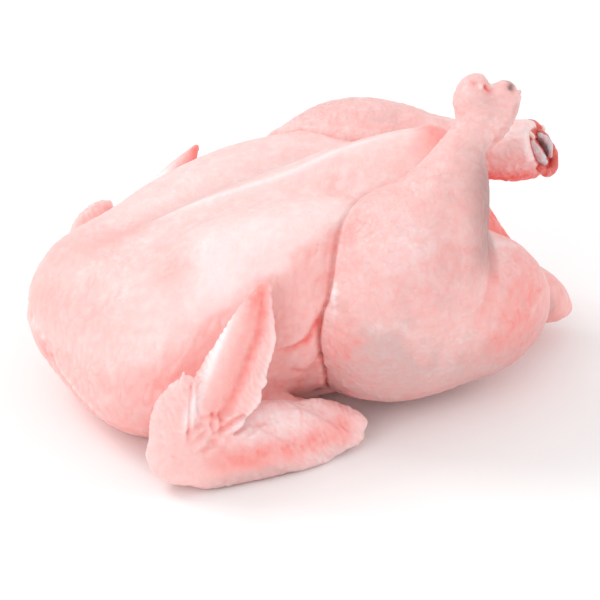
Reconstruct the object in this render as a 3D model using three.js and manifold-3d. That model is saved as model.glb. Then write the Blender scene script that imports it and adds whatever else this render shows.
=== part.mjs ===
// A whole dressed chicken lying on its back: one closed body of flesh and skin.
// Millimetres. +X runs from the neck to the tail, +Z is up, the back rests on z = 0.
// The forms are laid out on a pattern bird and then scaled to the real length.
// Each form is a function of x, y, z that gives the distance to its surface,
// below zero inside. Forms melt into each other like flesh under skin.

import * as THREE from 'three';
import { mergeVertices } from 'three/addons/utils/BufferGeometryUtils.js';
import Module from 'manifold-3d';

// Driving dimensions
const BODY_LENGTH = 250; // real length, neck skin to tip of tail
const PATTERN_LENGTH = 294; // length of the pattern bird that the numbers below describe
const SCALE = BODY_LENGTH / PATTERN_LENGTH;
const SAMPLE_STEP = 3; // spacing of the samples that the skin is drawn from
const TRIANGLES = 11300; // faces kept on the finished skin
const EVENNESS = 0.03; // pull that keeps the faces even, against the pull of the shape
const LEAST_ASPECT = 0.015; // area over longest side squared, no face is thinner
const PASSES = 4; // rounds of thinning
const LEAST_TURN = 0.4; // cosine of the most that a face may turn in one merge
const NEAR = 34; // forms further away than this are not worked out exactly
const REACH = { low: [-162, -138, -12], high: [165, 135, 186] }; // room around the pattern bird
const RIGHT = -1; // the bird's own sides, as signs along Y
const LEFT = 1;

// Trunk
const BACK = { at: [-12, 0, 38], radii: [126, 66, 44], along: [1, 0, 0.04] };
const BELLY = { at: [42, 0, 60], radii: [65, 52, 54], along: [1, 0, -0.1] };
const BREAST = { x: -27, y: 33, z: 58, radii: [105, 44, 51], flare: 0.14, pitch: 0.245, roll: 0.12 };
const NECK = { at: [-109, 2, 55], radii: [32, 41, 25], along: [1, 0, 0.42] };
const SHOULDER = { x: -80, y: 43, z: 30, radii: [42, 43, 31], yaw: 0.75 };
const KEEL = [[-84, 0, 76, 8], [-50, 1, 90, 9], [-10, 2, 101, 10], [40, 2, 112, 12], [71, 1, 118, 11]];
const KEEL_FOOT = [[-60, 0, 62, 24], [-10, 0, 80, 24], [40, 0, 94, 22], [69, 0, 104, 16]];
const NECK_SKIN = [
  [-116, 36, 24, 6], [-126, 10, 30, 7], [-126, -16, 29, 7], [-116, -38, 22, 6], [-100, -58, 16, 5],
];

// Tail end
const TAIL = [[100, 0, 41, 20], [118, 0, 32, 21], [132, 0, 25, 18], [142, 0, 19, 10]];
const TAIL_FACE = [0.5, 0, 0.85];
const TAIL_FLATNESS = 0.72;
const VENT = [[84, 1, 80, 6], [98, 2, 72, 11], [107, 2, 60, 13], [112, 1, 49, 8]];
const VENT_LIP = [[84, 84, 4], [97, 75, 5], [105, 63, 6], [109, 50, 5]]; // x, z, radius
const VENT_HALF_WIDTH = 18;

// Legs: hip, knee and hock joints, with the swell of the drumstick
const RAISED_LEG = {
  hip: [104, -39, 43], knee: [18, -63, 65], hock: [89.2, -27.5, 157.3],
  bow: [1.4, -1, -0.4], hinge: [0.93, -0.2, -0.3], apron: [30, -54, 34],
  thigh: [66, 35, 43], calf: 28, shank: 10, knob: [11.5, 8, 9.5],
};
const LOWERED_LEG = {
  hip: [92, 42, 40], knee: [20, 66, 78], hock: [126, 22, 102],
  bow: [0, 0.7, 0.8], hinge: [0.1, 0.5, -0.86], apron: [28, 55, 36],
  thigh: [66, 35, 42], calf: 27, shank: 14, knob: [18, 12, 12],
};
const APRON = [38, 29, 24]; // the loose skin that hangs from the thigh to the back
const KNOB_OFFSET = 7.5; // each of the two knobs of the hock from its middle
const CUT = { face: 11.5, dish: [5, 8.5, 14], out: 14, bone: [5, 5.5, 10], boneOut: 7.5 }; // end of the shin

// Wings, folded in a V: the forearm lies on the table, the hand rises to the tip
const RIGHT_WING = {
  side: RIGHT, shoulder: [-72, -54, 24], elbow: [3, -88, 12], wrist: [-84, -103, 17],
  tip: [-37, -82, 93], thumb: [-80, -106, 58], sag: [0, 0, 0],
};
const LEFT_WING = {
  side: LEFT, shoulder: [-72, 54, 24], elbow: [6, 82, 12], wrist: [-95, 98, 35],
  tip: [-40, 78, 95], thumb: [-88, 95, 60], sag: [0, -3, -4],
};
const FOREARM_FLATNESS = 0.62;
const HAND_FLATNESS = 0.8;
const WEB_FLATNESS = 0.28;
const THUMB_FLATNESS = 0.62;

const SKIN_COLOUR = 0xf3cbc2;

const clamp = THREE.MathUtils.clamp;
const vector = (list) => new THREE.Vector3(...list);
const mix = (a, b, t) => a.map((value, i) => value * (1 - t) + b[i] * t);

function smoothMin(a, b, width) {
  const h = Math.max(width - Math.abs(a - b), 0) / width;
  return Math.min(a, b) - (h * h * width) / 4;
}

// Joins two forms with a fillet of the given width
function melt(a, b, width) {
  return (x, y, z) => smoothMin(a(x, y, z), b(x, y, z), width);
}

// Takes one form out of another with a rounded edge
function hollow(a, b, width) {
  return (x, y, z) => -smoothMin(-a(x, y, z), b(x, y, z), width);
}

// A right-handed basis with its first axis along one direction and its third near another
function basis(along, up) {
  const x = vector(along).normalize();
  const z = vector(up).addScaledVector(x, -vector(up).dot(x)).normalize();
  const y = new THREE.Vector3().crossVectors(z, x);
  return [x, y, z];
}

// Wraps a form so that points far from it cost nothing
function bounded(centre, radius, form) {
  const [cx, cy, cz] = centre;
  return (x, y, z) => {
    const gap = Math.hypot(x - cx, y - cy, z - cz) - radius;
    return gap > NEAR ? gap : form(x, y, z);
  };
}

function ellipsoid({ at, radii, along = [1, 0, 0], up = [0, 0, 1] }) {
  const [cx, cy, cz] = at;
  const axes = basis(along, up);
  const form = (x, y, z) => {
    const dx = x - cx;
    const dy = y - cy;
    const dz = z - cz;
    let first = 0;
    let second = 0;
    for (let i = 0; i < 3; i += 1) {
      const part = (axes[i].x * dx + axes[i].y * dy + axes[i].z * dz) / radii[i];
      first += part * part;
      second += (part / radii[i]) ** 2;
    }
    const k = Math.sqrt(first);
    return (k * (k - 1)) / (Math.sqrt(second) + 1e-6);
  };
  return bounded(at, Math.max(...radii), form);
}

// A rounded limb through stations of x, y, z and radius. A flatness below 1 squeezes its
// section along the direction called face.
function limb(stations, steps, face = [0, 0, 1], flatness = 1) {
  const path = new THREE.CatmullRomCurve3(stations.map((s) => vector(s)), false, 'catmullrom', 0.5);
  const girth = new THREE.SplineCurve(stations.map((s) => new THREE.Vector2(s[3], 0)));
  const centres = path.getPoints(steps);
  const radii = girth.getPoints(steps).map((p) => p.x);
  const flat = vector(face).normalize();
  const squeeze = 1 / flatness ** 2 - 1;
  const form = (x, y, z) => {
    let best = Infinity;
    for (let i = 0; i < steps; i += 1) {
      const a = centres[i];
      const b = centres[i + 1];
      const ux = b.x - a.x;
      const uy = b.y - a.y;
      const uz = b.z - a.z;
      const run = ((x - a.x) * ux + (y - a.y) * uy + (z - a.z) * uz) / (ux * ux + uy * uy + uz * uz);
      const t = clamp(run, 0, 1);
      const vx = x - a.x - t * ux;
      const vy = y - a.y - t * uy;
      const vz = z - a.z - t * uz;
      const radius = radii[i] + t * (radii[i + 1] - radii[i]);
      const away = Math.hypot(vx, vy, vz) + 1e-6;
      const off = vx * flat.x + vy * flat.y + vz * flat.z;
      const swollen = Math.sqrt(away * away + squeeze * off * off);
      best = Math.min(best, ((swollen - radius) * away) / swollen);
    }
    return best;
  };
  const middle = centres[Math.floor(steps / 2)];
  const size = Math.max(...centres.map((c, i) => c.distanceTo(middle) + radii[i]));
  return bounded(middle.toArray(), size, form);
}

function breastLobe(side) {
  return ellipsoid({
    at: [BREAST.x, side * BREAST.y, BREAST.z],
    radii: BREAST.radii,
    along: [0.955, side * BREAST.flare, BREAST.pitch],
    up: [0, side * BREAST.roll, 1],
  });
}

function shoulder(side) {
  return ellipsoid({
    at: [SHOULDER.x, side * SHOULDER.y, SHOULDER.z],
    radii: SHOULDER.radii,
    along: [1, side * SHOULDER.yaw, 0.1],
  });
}

function trunk() {
  const lobes = melt(breastLobe(LEFT), breastLobe(RIGHT), 16);
  let form = melt(ellipsoid(BACK), ellipsoid(BELLY), 30);
  form = melt(form, lobes, 14);
  form = melt(form, ellipsoid(NECK), 20);
  form = melt(form, shoulder(LEFT), 24);
  form = melt(form, shoulder(RIGHT), 24);
  form = melt(form, limb(KEEL_FOOT, 16), 24);
  form = melt(form, limb(KEEL, 24), 14);
  return melt(form, limb(NECK_SKIN, 20), 7);
}

// The two-knobbed end of the shin where the foot was cut off
function hock(leg, shin) {
  const hinge = vector(leg.hinge).normalize();
  const up = new THREE.Vector3().crossVectors(hinge, vector(shin)).toArray();
  const knob = (offset) => {
    const at = vector(leg.hock).addScaledVector(hinge, offset).toArray();
    return ellipsoid({ at, radii: leg.knob, along: shin, up });
  };
  return melt(knob(KNOB_OFFSET), knob(-KNOB_OFFSET), 5);
}

function drumstick(leg, shin) {
  const profile = [
    [-0.02, leg.calf + 1, 0],
    [0.2, leg.calf + 10, 2],
    [0.4, leg.calf + 1.5, 5],
    [0.58, leg.calf * 0.5 + 6.5, 4.5],
    [0.76, leg.shank + 2, 2],
    [0.9, leg.shank, 2.5],
  ]; // share of the way from knee to hock, radius, outward bow
  const station = ([t, radius, bow]) => {
    const at = leg.knee.map((value, i) => value + shin[i] * t + leg.bow[i] * bow);
    return [...at, radius];
  };
  return limb(profile.map(station), 30);
}

function legOf(leg) {
  const shin = leg.hock.map((value, i) => value - leg.knee[i]);
  const muscle = ellipsoid({
    at: mix(leg.hip, leg.knee, 0.5),
    radii: leg.thigh,
    along: leg.knee.map((value, i) => value - leg.hip[i]),
  });
  const thigh = melt(muscle, ellipsoid({ at: leg.apron, radii: APRON }), 20);
  return melt(thigh, melt(drumstick(leg, shin), hock(leg, shin), 8), 14);
}

// Cuts the shin off flat where the foot was, hollows its end and sets the end of the bone in it
function withCutEnd(form, leg) {
  const shin = leg.hock.map((value, i) => value - leg.knee[i]);
  const run = vector(shin).normalize();
  const at = (out) => vector(leg.hock).addScaledVector(run, out).toArray();
  const dish = ellipsoid({ at: at(CUT.out), radii: CUT.dish, along: shin, up: leg.hinge });
  const bone = ellipsoid({ at: at(CUT.boneOut), radii: CUT.bone, along: shin, up: leg.hinge });
  const reach = CUT.face + run.dot(vector(leg.hock));
  const beyond = (x, y, z) => reach - run.x * x - run.y * y - run.z * z;
  return melt(hollow(hollow(form, beyond, 3), dish, 2), bone, 2);
}

function forearm(wing) {
  const at = (t, radius) => [...mix(wing.elbow, wing.wrist, t), radius];
  const stations = [at(0, 11), at(0.2, 17), at(0.5, 20), at(0.8, 19.5), at(1, 16)];
  return limb(stations, 26, [0, wing.side * 0.6, 0.8], FOREARM_FLATNESS);
}

// A place on the hand's bone, from the wrist at 0 to the tip at 1
function bladePoint(wing, t) {
  return mix(wing.wrist, wing.tip, t).map((value, i) => value + wing.sag[i] * 4 * t * (1 - t));
}

function hand(wing, face) {
  const at = (t, radius) => [...bladePoint(wing, t), radius];
  const stations = [at(0, 13), at(0.25, 11.5), at(0.6, 9), at(0.85, 6), at(1, 2.4)];
  return limb(stations, 24, face, HAND_FLATNESS);
}

// The thin flap of skin behind the hand, where the quills grew
function web(wing, face) {
  const run = vector(wing.tip).sub(vector(wing.wrist));
  const out = new THREE.Vector3().crossVectors(vector(face), run).normalize();
  const at = (t, width, radius) => {
    const place = vector(bladePoint(wing, t));
    return [...place.addScaledVector(out, wing.side * width).toArray(), radius];
  };
  const stations = [at(0.14, 9, 5.5), at(0.4, 13, 10), at(0.75, 9.5, 7.5), at(1, 1, 2.4)];
  return limb(stations, 30, face, WEB_FLATNESS);
}

// The thumb, bowed towards the neck
function thumb(wing, face) {
  const at = (t, bow, radius) => {
    const [x, y, z] = mix(wing.wrist, wing.thumb, t);
    return [x - bow, y, z, radius];
  };
  const stations = [at(0, 2.5, 13), at(0.5, 5.5, 11), at(0.8, 3.5, 8), at(1, 0, 4)];
  return limb(stations, 16, face, THUMB_FLATNESS);
}

function wingOf(wing) {
  const face = [-0.3, wing.side * 0.85, 0.4];
  const middle = mix(wing.shoulder, wing.elbow, 0.5);
  const upper = limb([[...wing.shoulder, 16], [...middle, 11], [...wing.elbow, 5.5]], 16);
  const blade = melt(hand(wing, face), web(wing, face), 4);
  const folded = melt(melt(upper, forearm(wing), 3), blade, 4);
  return melt(folded, thumb(wing, face), 3);
}

function ventLip(side) {
  const stations = VENT_LIP.map(([x, z, radius]) => [x, side * VENT_HALF_WIDTH, z, radius]);
  return limb(stations, 16);
}

function bird() {
  let form = melt(trunk(), legOf(RAISED_LEG), 1);
  form = melt(form, withCutEnd(legOf(LOWERED_LEG), LOWERED_LEG), 1);
  form = melt(form, limb(TAIL, 24, TAIL_FACE, TAIL_FLATNESS), 8);
  form = melt(form, ventLip(LEFT), 6);
  form = melt(form, ventLip(RIGHT), 6);
  form = hollow(form, limb(VENT, 16), 4);
  form = melt(form, wingOf(LEFT_WING), 3);
  return melt(form, wingOf(RIGHT_WING), 3);
}

// Samples a form on a grid of points
function sample(form, { low, high }, step) {
  const counts = low.map((value, i) => Math.ceil((high[i] - value) / step) + 1);
  const [nx, ny, nz] = counts;
  const values = new Float64Array(nx * ny * nz);
  for (let i = 0; i < nx; i += 1) {
    for (let j = 0; j < ny; j += 1) {
      for (let k = 0; k < nz; k += 1) {
        const value = form(low[0] + i * step, low[1] + j * step, low[2] + k * step);
        values[(i * ny + j) * nz + k] = value === 0 ? 1e-9 : value;
      }
    }
  }
  return { values, counts, low, step };
}

// Draws the zero surface of the samples: each cube is split in six tetrahedra round its
// long diagonal, and each of those gives one or two triangles.
function drawSkin({ values, counts, low, step }) {
  const [nx, ny, nz] = counts;
  const stride = [ny * nz, nz, 1];
  const orders = [[0, 1, 2], [1, 2, 0], [2, 0, 1], [0, 2, 1], [2, 1, 0], [1, 0, 2]];
  const points = [];
  const faces = [];
  const known = new Map();
  const place = (n) => [Math.floor(n / stride[0]), Math.floor((n % stride[0]) / nz), n % nz];
  const crossing = (a, b) => {
    const key = Math.min(a, b) * values.length + Math.max(a, b);
    if (!known.has(key)) {
      const t = clamp(values[a] / (values[a] - values[b]), 0.02, 0.98);
      const at = mix(place(a), place(b), t);
      known.set(key, points.length);
      points.push(at.map((value, i) => low[i] + value * step));
    }
    return known.get(key);
  };
  const addRing = (ring, inside) => {
    const [p, q, r] = ring.map((n) => vector(points[n]));
    const normal = q.clone().sub(p).cross(r.clone().sub(p));
    const seed = vector(place(inside[0]).map((value, i) => low[i] + value * step));
    if (normal.dot(p.clone().sub(seed)) < 0) ring.reverse();
    faces.push([ring[0], ring[1], ring[2]]);
    if (ring.length === 4) faces.push([ring[0], ring[2], ring[3]]);
  };
  const addTetrahedron = (corners) => {
    const inside = corners.filter((n) => values[n] < 0);
    const outside = corners.filter((n) => values[n] >= 0);
    if (inside.length === 0 || outside.length === 0) return;
    if (inside.length === 2) {
      const [a, b] = inside;
      const [c, d] = outside;
      addRing([crossing(a, c), crossing(a, d), crossing(b, d), crossing(b, c)], inside);
      return;
    }
    const lone = inside.length === 1 ? inside[0] : outside[0];
    addRing(corners.filter((n) => n !== lone).map((n) => crossing(lone, n)), inside);
  };
  for (let i = 0; i < nx - 1; i += 1) {
    for (let j = 0; j < ny - 1; j += 1) {
      for (let k = 0; k < nz - 1; k += 1) {
        const start = i * stride[0] + j * stride[1] + k;
        if (Math.abs(values[start]) > step * 4) continue;
        for (const order of orders) {
          const corners = [start];
          for (const axis of order) corners.push(corners[corners.length - 1] + stride[axis]);
          addTetrahedron(corners);
        }
      }
    }
  }
  return { points, faces };
}

// A heap that gives back the cheapest entry first
class Queue {
  constructor() {
    this.items = [];
  }

  push(item) {
    const { items } = this;
    let i = items.length;
    items.push(item);
    while (i > 0) {
      const parent = (i - 1) >> 1;
      if (items[parent].cost <= item.cost) break;
      items[i] = items[parent];
      i = parent;
    }
    items[i] = item;
  }

  pop() {
    const { items } = this;
    const first = items[0];
    const last = items.pop();
    if (items.length === 0) return first;
    let i = 0;
    for (;;) {
      let child = 2 * i + 1;
      if (child >= items.length) break;
      if (child + 1 < items.length && items[child + 1].cost < items[child].cost) child += 1;
      if (items[child].cost >= last.cost) break;
      items[i] = items[child];
      i = child;
    }
    items[i] = last;
    return first;
  }
}

// The normal of a triangle, as long as its area is large
function areaNormal(a, b, c) {
  const [ux, uy, uz] = [b[0] - a[0], b[1] - a[1], b[2] - a[2]];
  const [vx, vy, vz] = [c[0] - a[0], c[1] - a[1], c[2] - a[2]];
  return [(uy * vz - uz * vy) / 2, (uz * vx - ux * vz) / 2, (ux * vy - uy * vx) / 2];
}

const dot = (a, b) => a[0] * b[0] + a[1] * b[1] + a[2] * b[2];

const squared = (a, b) => (a[0] - b[0]) ** 2 + (a[1] - b[1]) ** 2 + (a[2] - b[2]) ** 2;

// A triangle's area over its longest side squared
function aspect([a, b, c]) {
  const normal = areaNormal(a, b, c);
  return Math.sqrt(dot(normal, normal)) / Math.max(squared(a, b), squared(b, c), squared(c, a), 1e-12);
}

// The cosine of the angle between two triangles
function turn(before, after) {
  const from = areaNormal(...before);
  const to = areaNormal(...after);
  return dot(from, to) / (Math.sqrt(dot(from, from) * dot(to, to)) + 1e-12);
}

// The upper triangle of the 4 x 4 matrix that sums squared distances to a face's plane
function planeQuadric(a, b, c) {
  const normal = areaNormal(a, b, c);
  const area = Math.sqrt(dot(normal, normal)) + 1e-12;
  const [nx, ny, nz] = normal.map((value) => value / area);
  const d = -(nx * a[0] + ny * a[1] + nz * a[2]);
  const terms = [nx * nx, nx * ny, nx * nz, nx * d, ny * ny, ny * nz, ny * d, nz * nz, nz * d, d * d];
  return terms.map((value) => value * area);
}

// A weak pull to a point, which keeps the triangles even on flat stretches
function pointQuadric(p, weight) {
  const terms = [1, 0, 0, -p[0], 1, 0, -p[1], 1, -p[2], dot(p, p)];
  return terms.map((value) => value * weight);
}

const addTo = (sum, terms) => terms.forEach((value, i) => { sum[i] += value; });

function quadricError(q, [x, y, z]) {
  return q[0] * x * x + 2 * q[1] * x * y + 2 * q[2] * x * z + 2 * q[3] * x + q[4] * y * y
    + 2 * q[5] * y * z + 2 * q[6] * y + q[7] * z * z + 2 * q[8] * z + q[9];
}

// The point with the least error
function bestPoint(q) {
  const c0 = q[4] * q[7] - q[5] * q[5];
  const c1 = q[2] * q[5] - q[1] * q[7];
  const c2 = q[1] * q[5] - q[2] * q[4];
  const det = q[0] * c0 + q[1] * c1 + q[2] * c2;
  const c4 = q[0] * q[7] - q[2] * q[2];
  const c5 = q[1] * q[2] - q[0] * q[5];
  const c8 = q[0] * q[4] - q[1] * q[1];
  const [x, y, z] = [-q[3], -q[6], -q[8]];
  const rows = [[c0, c1, c2], [c1, c4, c5], [c2, c5, c8]];
  return rows.map((row) => dot(row, [x, y, z]) / det);
}

// Thins a closed skin by merging the two ends of an edge, cheapest edge first
function thin({ points, faces }, wanted) {
  const fans = points.map(() => new Set());
  const quadrics = points.map((p) => pointQuadric(p, EVENNESS));
  const stamps = new Uint32Array(points.length);
  const queue = new Queue();
  faces.forEach((face, n) => {
    const terms = planeQuadric(...face.map((v) => points[v]));
    for (const v of face) {
      fans[v].add(n);
      addTo(quadrics[v], terms);
    }
  });
  const offer = (a, b) => {
    const sum = quadrics[a].map((value, i) => value + quadrics[b][i]);
    const at = bestPoint(sum);
    queue.push({ a, b, at, cost: quadricError(sum, at), age: stamps[a] + stamps[b] });
  };
  const neighbours = (v) => {
    const found = new Set();
    for (const n of fans[v]) for (const other of faces[n]) if (other !== v) found.add(other);
    return found;
  };
  const staysSound = (v, gone, at) => {
    for (const n of fans[v]) {
      const face = faces[n];
      if (face.includes(gone)) continue;
      const before = face.map((w) => points[w]);
      const after = face.map((w) => (w === v ? at : points[w]));
      const [shape, shapeBefore] = [aspect(after), aspect(before)];
      if (shape < Math.min(LEAST_ASPECT, shapeBefore)) return false;
      if (shapeBefore > LEAST_ASPECT && turn(before, after) < LEAST_TURN) return false;
    }
    return true;
  };
  const mergeEnds = ({ a, b, at }) => {
    for (const n of [...fans[b]]) {
      const face = faces[n];
      if (face.includes(a)) {
        for (const v of face) fans[v].delete(n);
        faces[n] = null;
        left -= 1;
      } else {
        face[face.indexOf(b)] = a;
        fans[a].add(n);
      }
    }
    fans[b].clear();
    points[a] = at;
    addTo(quadrics[a], quadrics[b]);
    stamps[a] += 1;
    stamps[b] += 1;
  };
  const offerAll = () => {
    for (const face of faces) {
      if (!face) continue;
      const [a, b, c] = face;
      for (const [v, w] of [[a, b], [b, c], [c, a]]) if (v < w) offer(v, w);
    }
  };
  const tryMerge = (edge) => {
    const { a, b, at, age } = edge;
    if (fans[a].size === 0 || fans[b].size === 0 || stamps[a] + stamps[b] !== age) return;
    const around = neighbours(a);
    const shared = [...neighbours(b)].filter((v) => around.has(v));
    if (shared.length !== 2 || !around.has(b)) return;
    if (!staysSound(a, b, at) || !staysSound(b, a, at)) return;
    mergeEnds(edge);
    for (const v of neighbours(a)) offer(Math.min(a, v), Math.max(a, v));
  };
  let left = faces.length;
  for (let pass = 0; pass < PASSES && left > wanted; pass += 1) {
    offerAll();
    while (left > wanted && queue.items.length > 0) tryMerge(queue.pop());
  }
  return { points, faces: faces.filter((face) => face) };
}

function toGeometry({ points, faces }) {
  const corners = faces.flatMap((face) => face.flatMap((v) => points[v]));
  const geometry = new THREE.BufferGeometry();
  geometry.setAttribute('position', new THREE.Float32BufferAttribute(corners, 3));
  return mergeVertices(geometry, 1e-4);
}

const wasm = await Module();
wasm.setup();

function toSolid(geometry) {
  const triVerts = new Uint32Array(geometry.index.array);
  const vertProperties = new Float32Array(geometry.attributes.position.array);
  return new wasm.Manifold(new wasm.Mesh({ numProp: 3, vertProperties, triVerts }));
}

function fromSolid(solid) {
  const { vertProperties, triVerts } = solid.getMesh();
  const geometry = new THREE.BufferGeometry();
  geometry.setAttribute('position', new THREE.BufferAttribute(vertProperties, 3));
  geometry.setIndex(new THREE.BufferAttribute(triVerts, 1));
  return geometry;
}

function block(size, at) {
  const geometry = new THREE.BoxGeometry(...size).translate(...at);
  geometry.deleteAttribute('normal');
  geometry.deleteAttribute('uv');
  return mergeVertices(geometry);
}

// The skin, cut level where the bird's weight presses it flat on the table
function restingBody() {
  const skin = thin(drawSkin(sample(bird(), REACH, SAMPLE_STEP)), TRIANGLES);
  const table = block([400, 400, 40], [0, 0, -20]);
  return fromSolid(toSolid(toGeometry(skin)).subtract(toSolid(table)));
}

const geometry = restingBody().scale(SCALE, SCALE, SCALE);
geometry.computeBoundingBox();
const { min, max } = geometry.boundingBox;
geometry.translate(-(min.x + max.x) / 2, -(min.y + max.y) / 2, 0);
geometry.computeVertexNormals();

const skinMaterial = new THREE.MeshStandardMaterial({ color: SKIN_COLOUR, roughness: 0.55, metalness: 0 });
const body = new THREE.Mesh(geometry, skinMaterial);
body.name = 'chicken';

const group = new THREE.Group();
group.add(body);

export default group;
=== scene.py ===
"""A whole raw chicken lying on its back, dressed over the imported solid.

The skin is drawn from the same pattern bird as the solid, much finer, and then gets its
folds, wrinkles and pores. Numbers that describe the bird are millimetres on the pattern bird,
with +X from neck to tail, +Z up and the bird's right side on -Y. Meshes are in metres.
"""

import bpy
import numpy as np
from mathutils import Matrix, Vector


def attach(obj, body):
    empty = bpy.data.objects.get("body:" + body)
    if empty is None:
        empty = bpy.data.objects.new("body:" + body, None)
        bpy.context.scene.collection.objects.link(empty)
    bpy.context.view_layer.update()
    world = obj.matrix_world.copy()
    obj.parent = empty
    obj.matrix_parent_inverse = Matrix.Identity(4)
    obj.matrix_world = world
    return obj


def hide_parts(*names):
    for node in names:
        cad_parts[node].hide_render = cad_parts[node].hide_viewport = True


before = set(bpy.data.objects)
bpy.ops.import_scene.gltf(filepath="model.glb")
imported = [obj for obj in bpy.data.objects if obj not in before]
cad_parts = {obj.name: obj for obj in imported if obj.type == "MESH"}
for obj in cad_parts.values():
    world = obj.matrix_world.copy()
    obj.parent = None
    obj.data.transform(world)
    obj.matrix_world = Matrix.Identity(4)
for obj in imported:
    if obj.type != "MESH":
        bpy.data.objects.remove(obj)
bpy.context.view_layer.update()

bl_info = {
    "name": "Whole Raw Chicken",
    "version": (1, 0, 0),
    "blender": (4, 5, 0),
    "location": "3D View > Sidebar > Chicken",
    "description": "Builds a whole raw chicken, its cut end and a plain studio stage",
    "category": "Add Mesh",
}

# ---------------------------------------------------------------- the pattern bird

PATTERN_LENGTH = 294.0
BODY_LENGTH = 250.0
SCALE = BODY_LENGTH / PATTERN_LENGTH / 1000  # metres in a millimetre of the pattern
LOW = (-162, -138, -12)  # room around the pattern bird
HIGH = (165, 135, 186)
NEAR = 34.0  # forms further away than this are not worked out exactly
MIDDLE = (3.6, -1.2, 0)  # the place on the pattern that lies over the origin
WING_ROOM = 26  # room round the joints of a wing
CUT_ROOM = 5  # room round the small pieces of the cut end
CUT_STEP = 0.45  # spacing of their points
RIGHT = -1
LEFT = 1

BACK = dict(at=(-12, 0, 38), radii=(126, 66, 44), along=(1, 0, 0.04))
BELLY = dict(at=(42, 0, 60), radii=(65, 52, 54), along=(1, 0, -0.1))
BREAST = dict(x=-27, y=33, z=58, radii=(105, 44, 51), flare=0.14, pitch=0.245, roll=0.12)
NECK = dict(at=(-109, 2, 55), radii=(32, 41, 25), along=(1, 0, 0.42))
SHOULDER = dict(x=-80, y=43, z=30, radii=(42, 43, 31), yaw=0.75)
KEEL = ((-84, 0, 76, 8), (-50, 1, 90, 9), (-10, 2, 101, 10), (40, 2, 112, 12), (71, 1, 118, 11))
KEEL_FOOT = ((-60, 0, 62, 24), (-10, 0, 80, 24), (40, 0, 94, 22), (69, 0, 104, 16))
NECK_SKIN = (
    (-116, 36, 24, 6), (-126, 10, 30, 7), (-126, -16, 29, 7), (-116, -38, 22, 6),
    (-100, -58, 16, 5),
)
TAIL = ((100, 0, 41, 20), (118, 0, 32, 21), (132, 0, 25, 18), (142, 0, 19, 10))
TAIL_FACE = (0.5, 0, 0.85)
TAIL_FLATNESS = 0.72
VENT = ((84, 1, 80, 6), (98, 2, 72, 11), (107, 2, 60, 13), (112, 1, 49, 8))
VENT_LIP = ((84, 84, 4), (97, 75, 5), (105, 63, 6), (109, 50, 5))  # x, z, radius
VENT_HALF_WIDTH = 18
RAISED_LEG = dict(
    hip=(104, -39, 43), knee=(18, -63, 65), hock=(89.2, -27.5, 157.3), bow=(1.4, -1, -0.4),
    hinge=(0.93, -0.2, -0.3), apron=(30, -54, 34), thigh=(66, 35, 43), calf=28, shank=10,
    knob=(11.5, 8, 9.5),
)
LOWERED_LEG = dict(
    hip=(92, 42, 40), knee=(20, 66, 78), hock=(126, 22, 102), bow=(0, 0.7, 0.8),
    hinge=(0.1, 0.5, -0.86), apron=(28, 55, 36), thigh=(66, 35, 42), calf=27, shank=14,
    knob=(18, 12, 12),
)
APRON = (38, 29, 24)  # the loose skin that hangs from the thigh to the back
KNOB_OFFSET = 7.5
CUT = dict(face=11.5, dish=(5, 8.5, 14), out=14, bone=(5, 5.5, 10), bone_out=7.5)  # end of the shin
CUT_LEAN = (1, -0.25, 0.2)  # the cut faces this way: along the shin, along the hinge, across both
SHANK_FLAP = (
    (90, -36, 136, 2.6), (96, -36, 144, 3.6), (101.5, -35, 153, 3.2), (106, -33, 162, 0.8),
)
SHANK_FLAP_FACE = (-0.35, -0.9, 0.1)  # the flap is thin this way
SHANK_FLAP_FLATNESS = 0.4
RIGHT_WING = dict(
    side=RIGHT, shoulder=(-72, -54, 24), elbow=(3, -88, 12), wrist=(-84, -103, 17),
    tip=(-37, -82, 93), thumb=(-80, -106, 58), sag=(0, 0, 0), claw=7,
)
LEFT_WING = dict(
    side=LEFT, shoulder=(-72, 54, 24), elbow=(6, 82, 12), wrist=(-95, 98, 35),
    tip=(-40, 78, 95), thumb=(-88, 95, 57), sag=(0, -3, -4), claw=3,
)
FOREARM_FLATNESS = 0.62
HAND_FLATNESS = 0.8
WEB_FLATNESS = 0.28
THUMB_FLATNESS = 0.62


# ---------------------------------------------------------------- forms
# A form is a function of an array of points that gives the distance to its surface, which is
# below zero inside.


def melt(a, b, width):
    """Joins two distances with a fillet."""
    h = np.maximum(width - np.abs(a - b), 0) / width
    return np.minimum(a, b) - h * h * width / 4


def melt_all(d, *others):
    """Joins more distances to the first, each given with the width of its fillet."""
    for other, width in others:
        d = melt(d, other, width)
    return d


def hollow(a, b, width):
    """Takes the second form out of the first with a rounded edge."""
    return -melt(-a, b, width)


def unit(v):
    v = np.array(v, float)
    return v / np.linalg.norm(v)


def mix(a, b, t):
    return np.array(a, float) * (1 - t) + np.array(b, float) * t


def smooth_step(low, high, value):
    t = np.clip((value - low) / (high - low), 0, 1)
    return t * t * (3 - 2 * t)


def bell(points, at, radii, power=2):
    """One at a place, falling to nothing over three radii; a higher power makes its top flat."""
    return np.exp(-np.linalg.norm((points - at) / radii, axis=1) ** power)


def basis(along, up):
    """Three square axes as columns, the first along one direction and the third near another."""
    x = unit(along)
    z = np.array(up, float)
    z = unit(z - z.dot(x) * x)
    return np.stack([x, np.cross(z, x), z], 1)


def bounded(points, centre, radius, form):
    """A form worked out only near its own ball."""
    gap = np.linalg.norm(points - np.array(centre, float), axis=1) - radius
    near = gap <= NEAR
    if near.any():
        gap[near] = form(points[near])
    return gap


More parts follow.
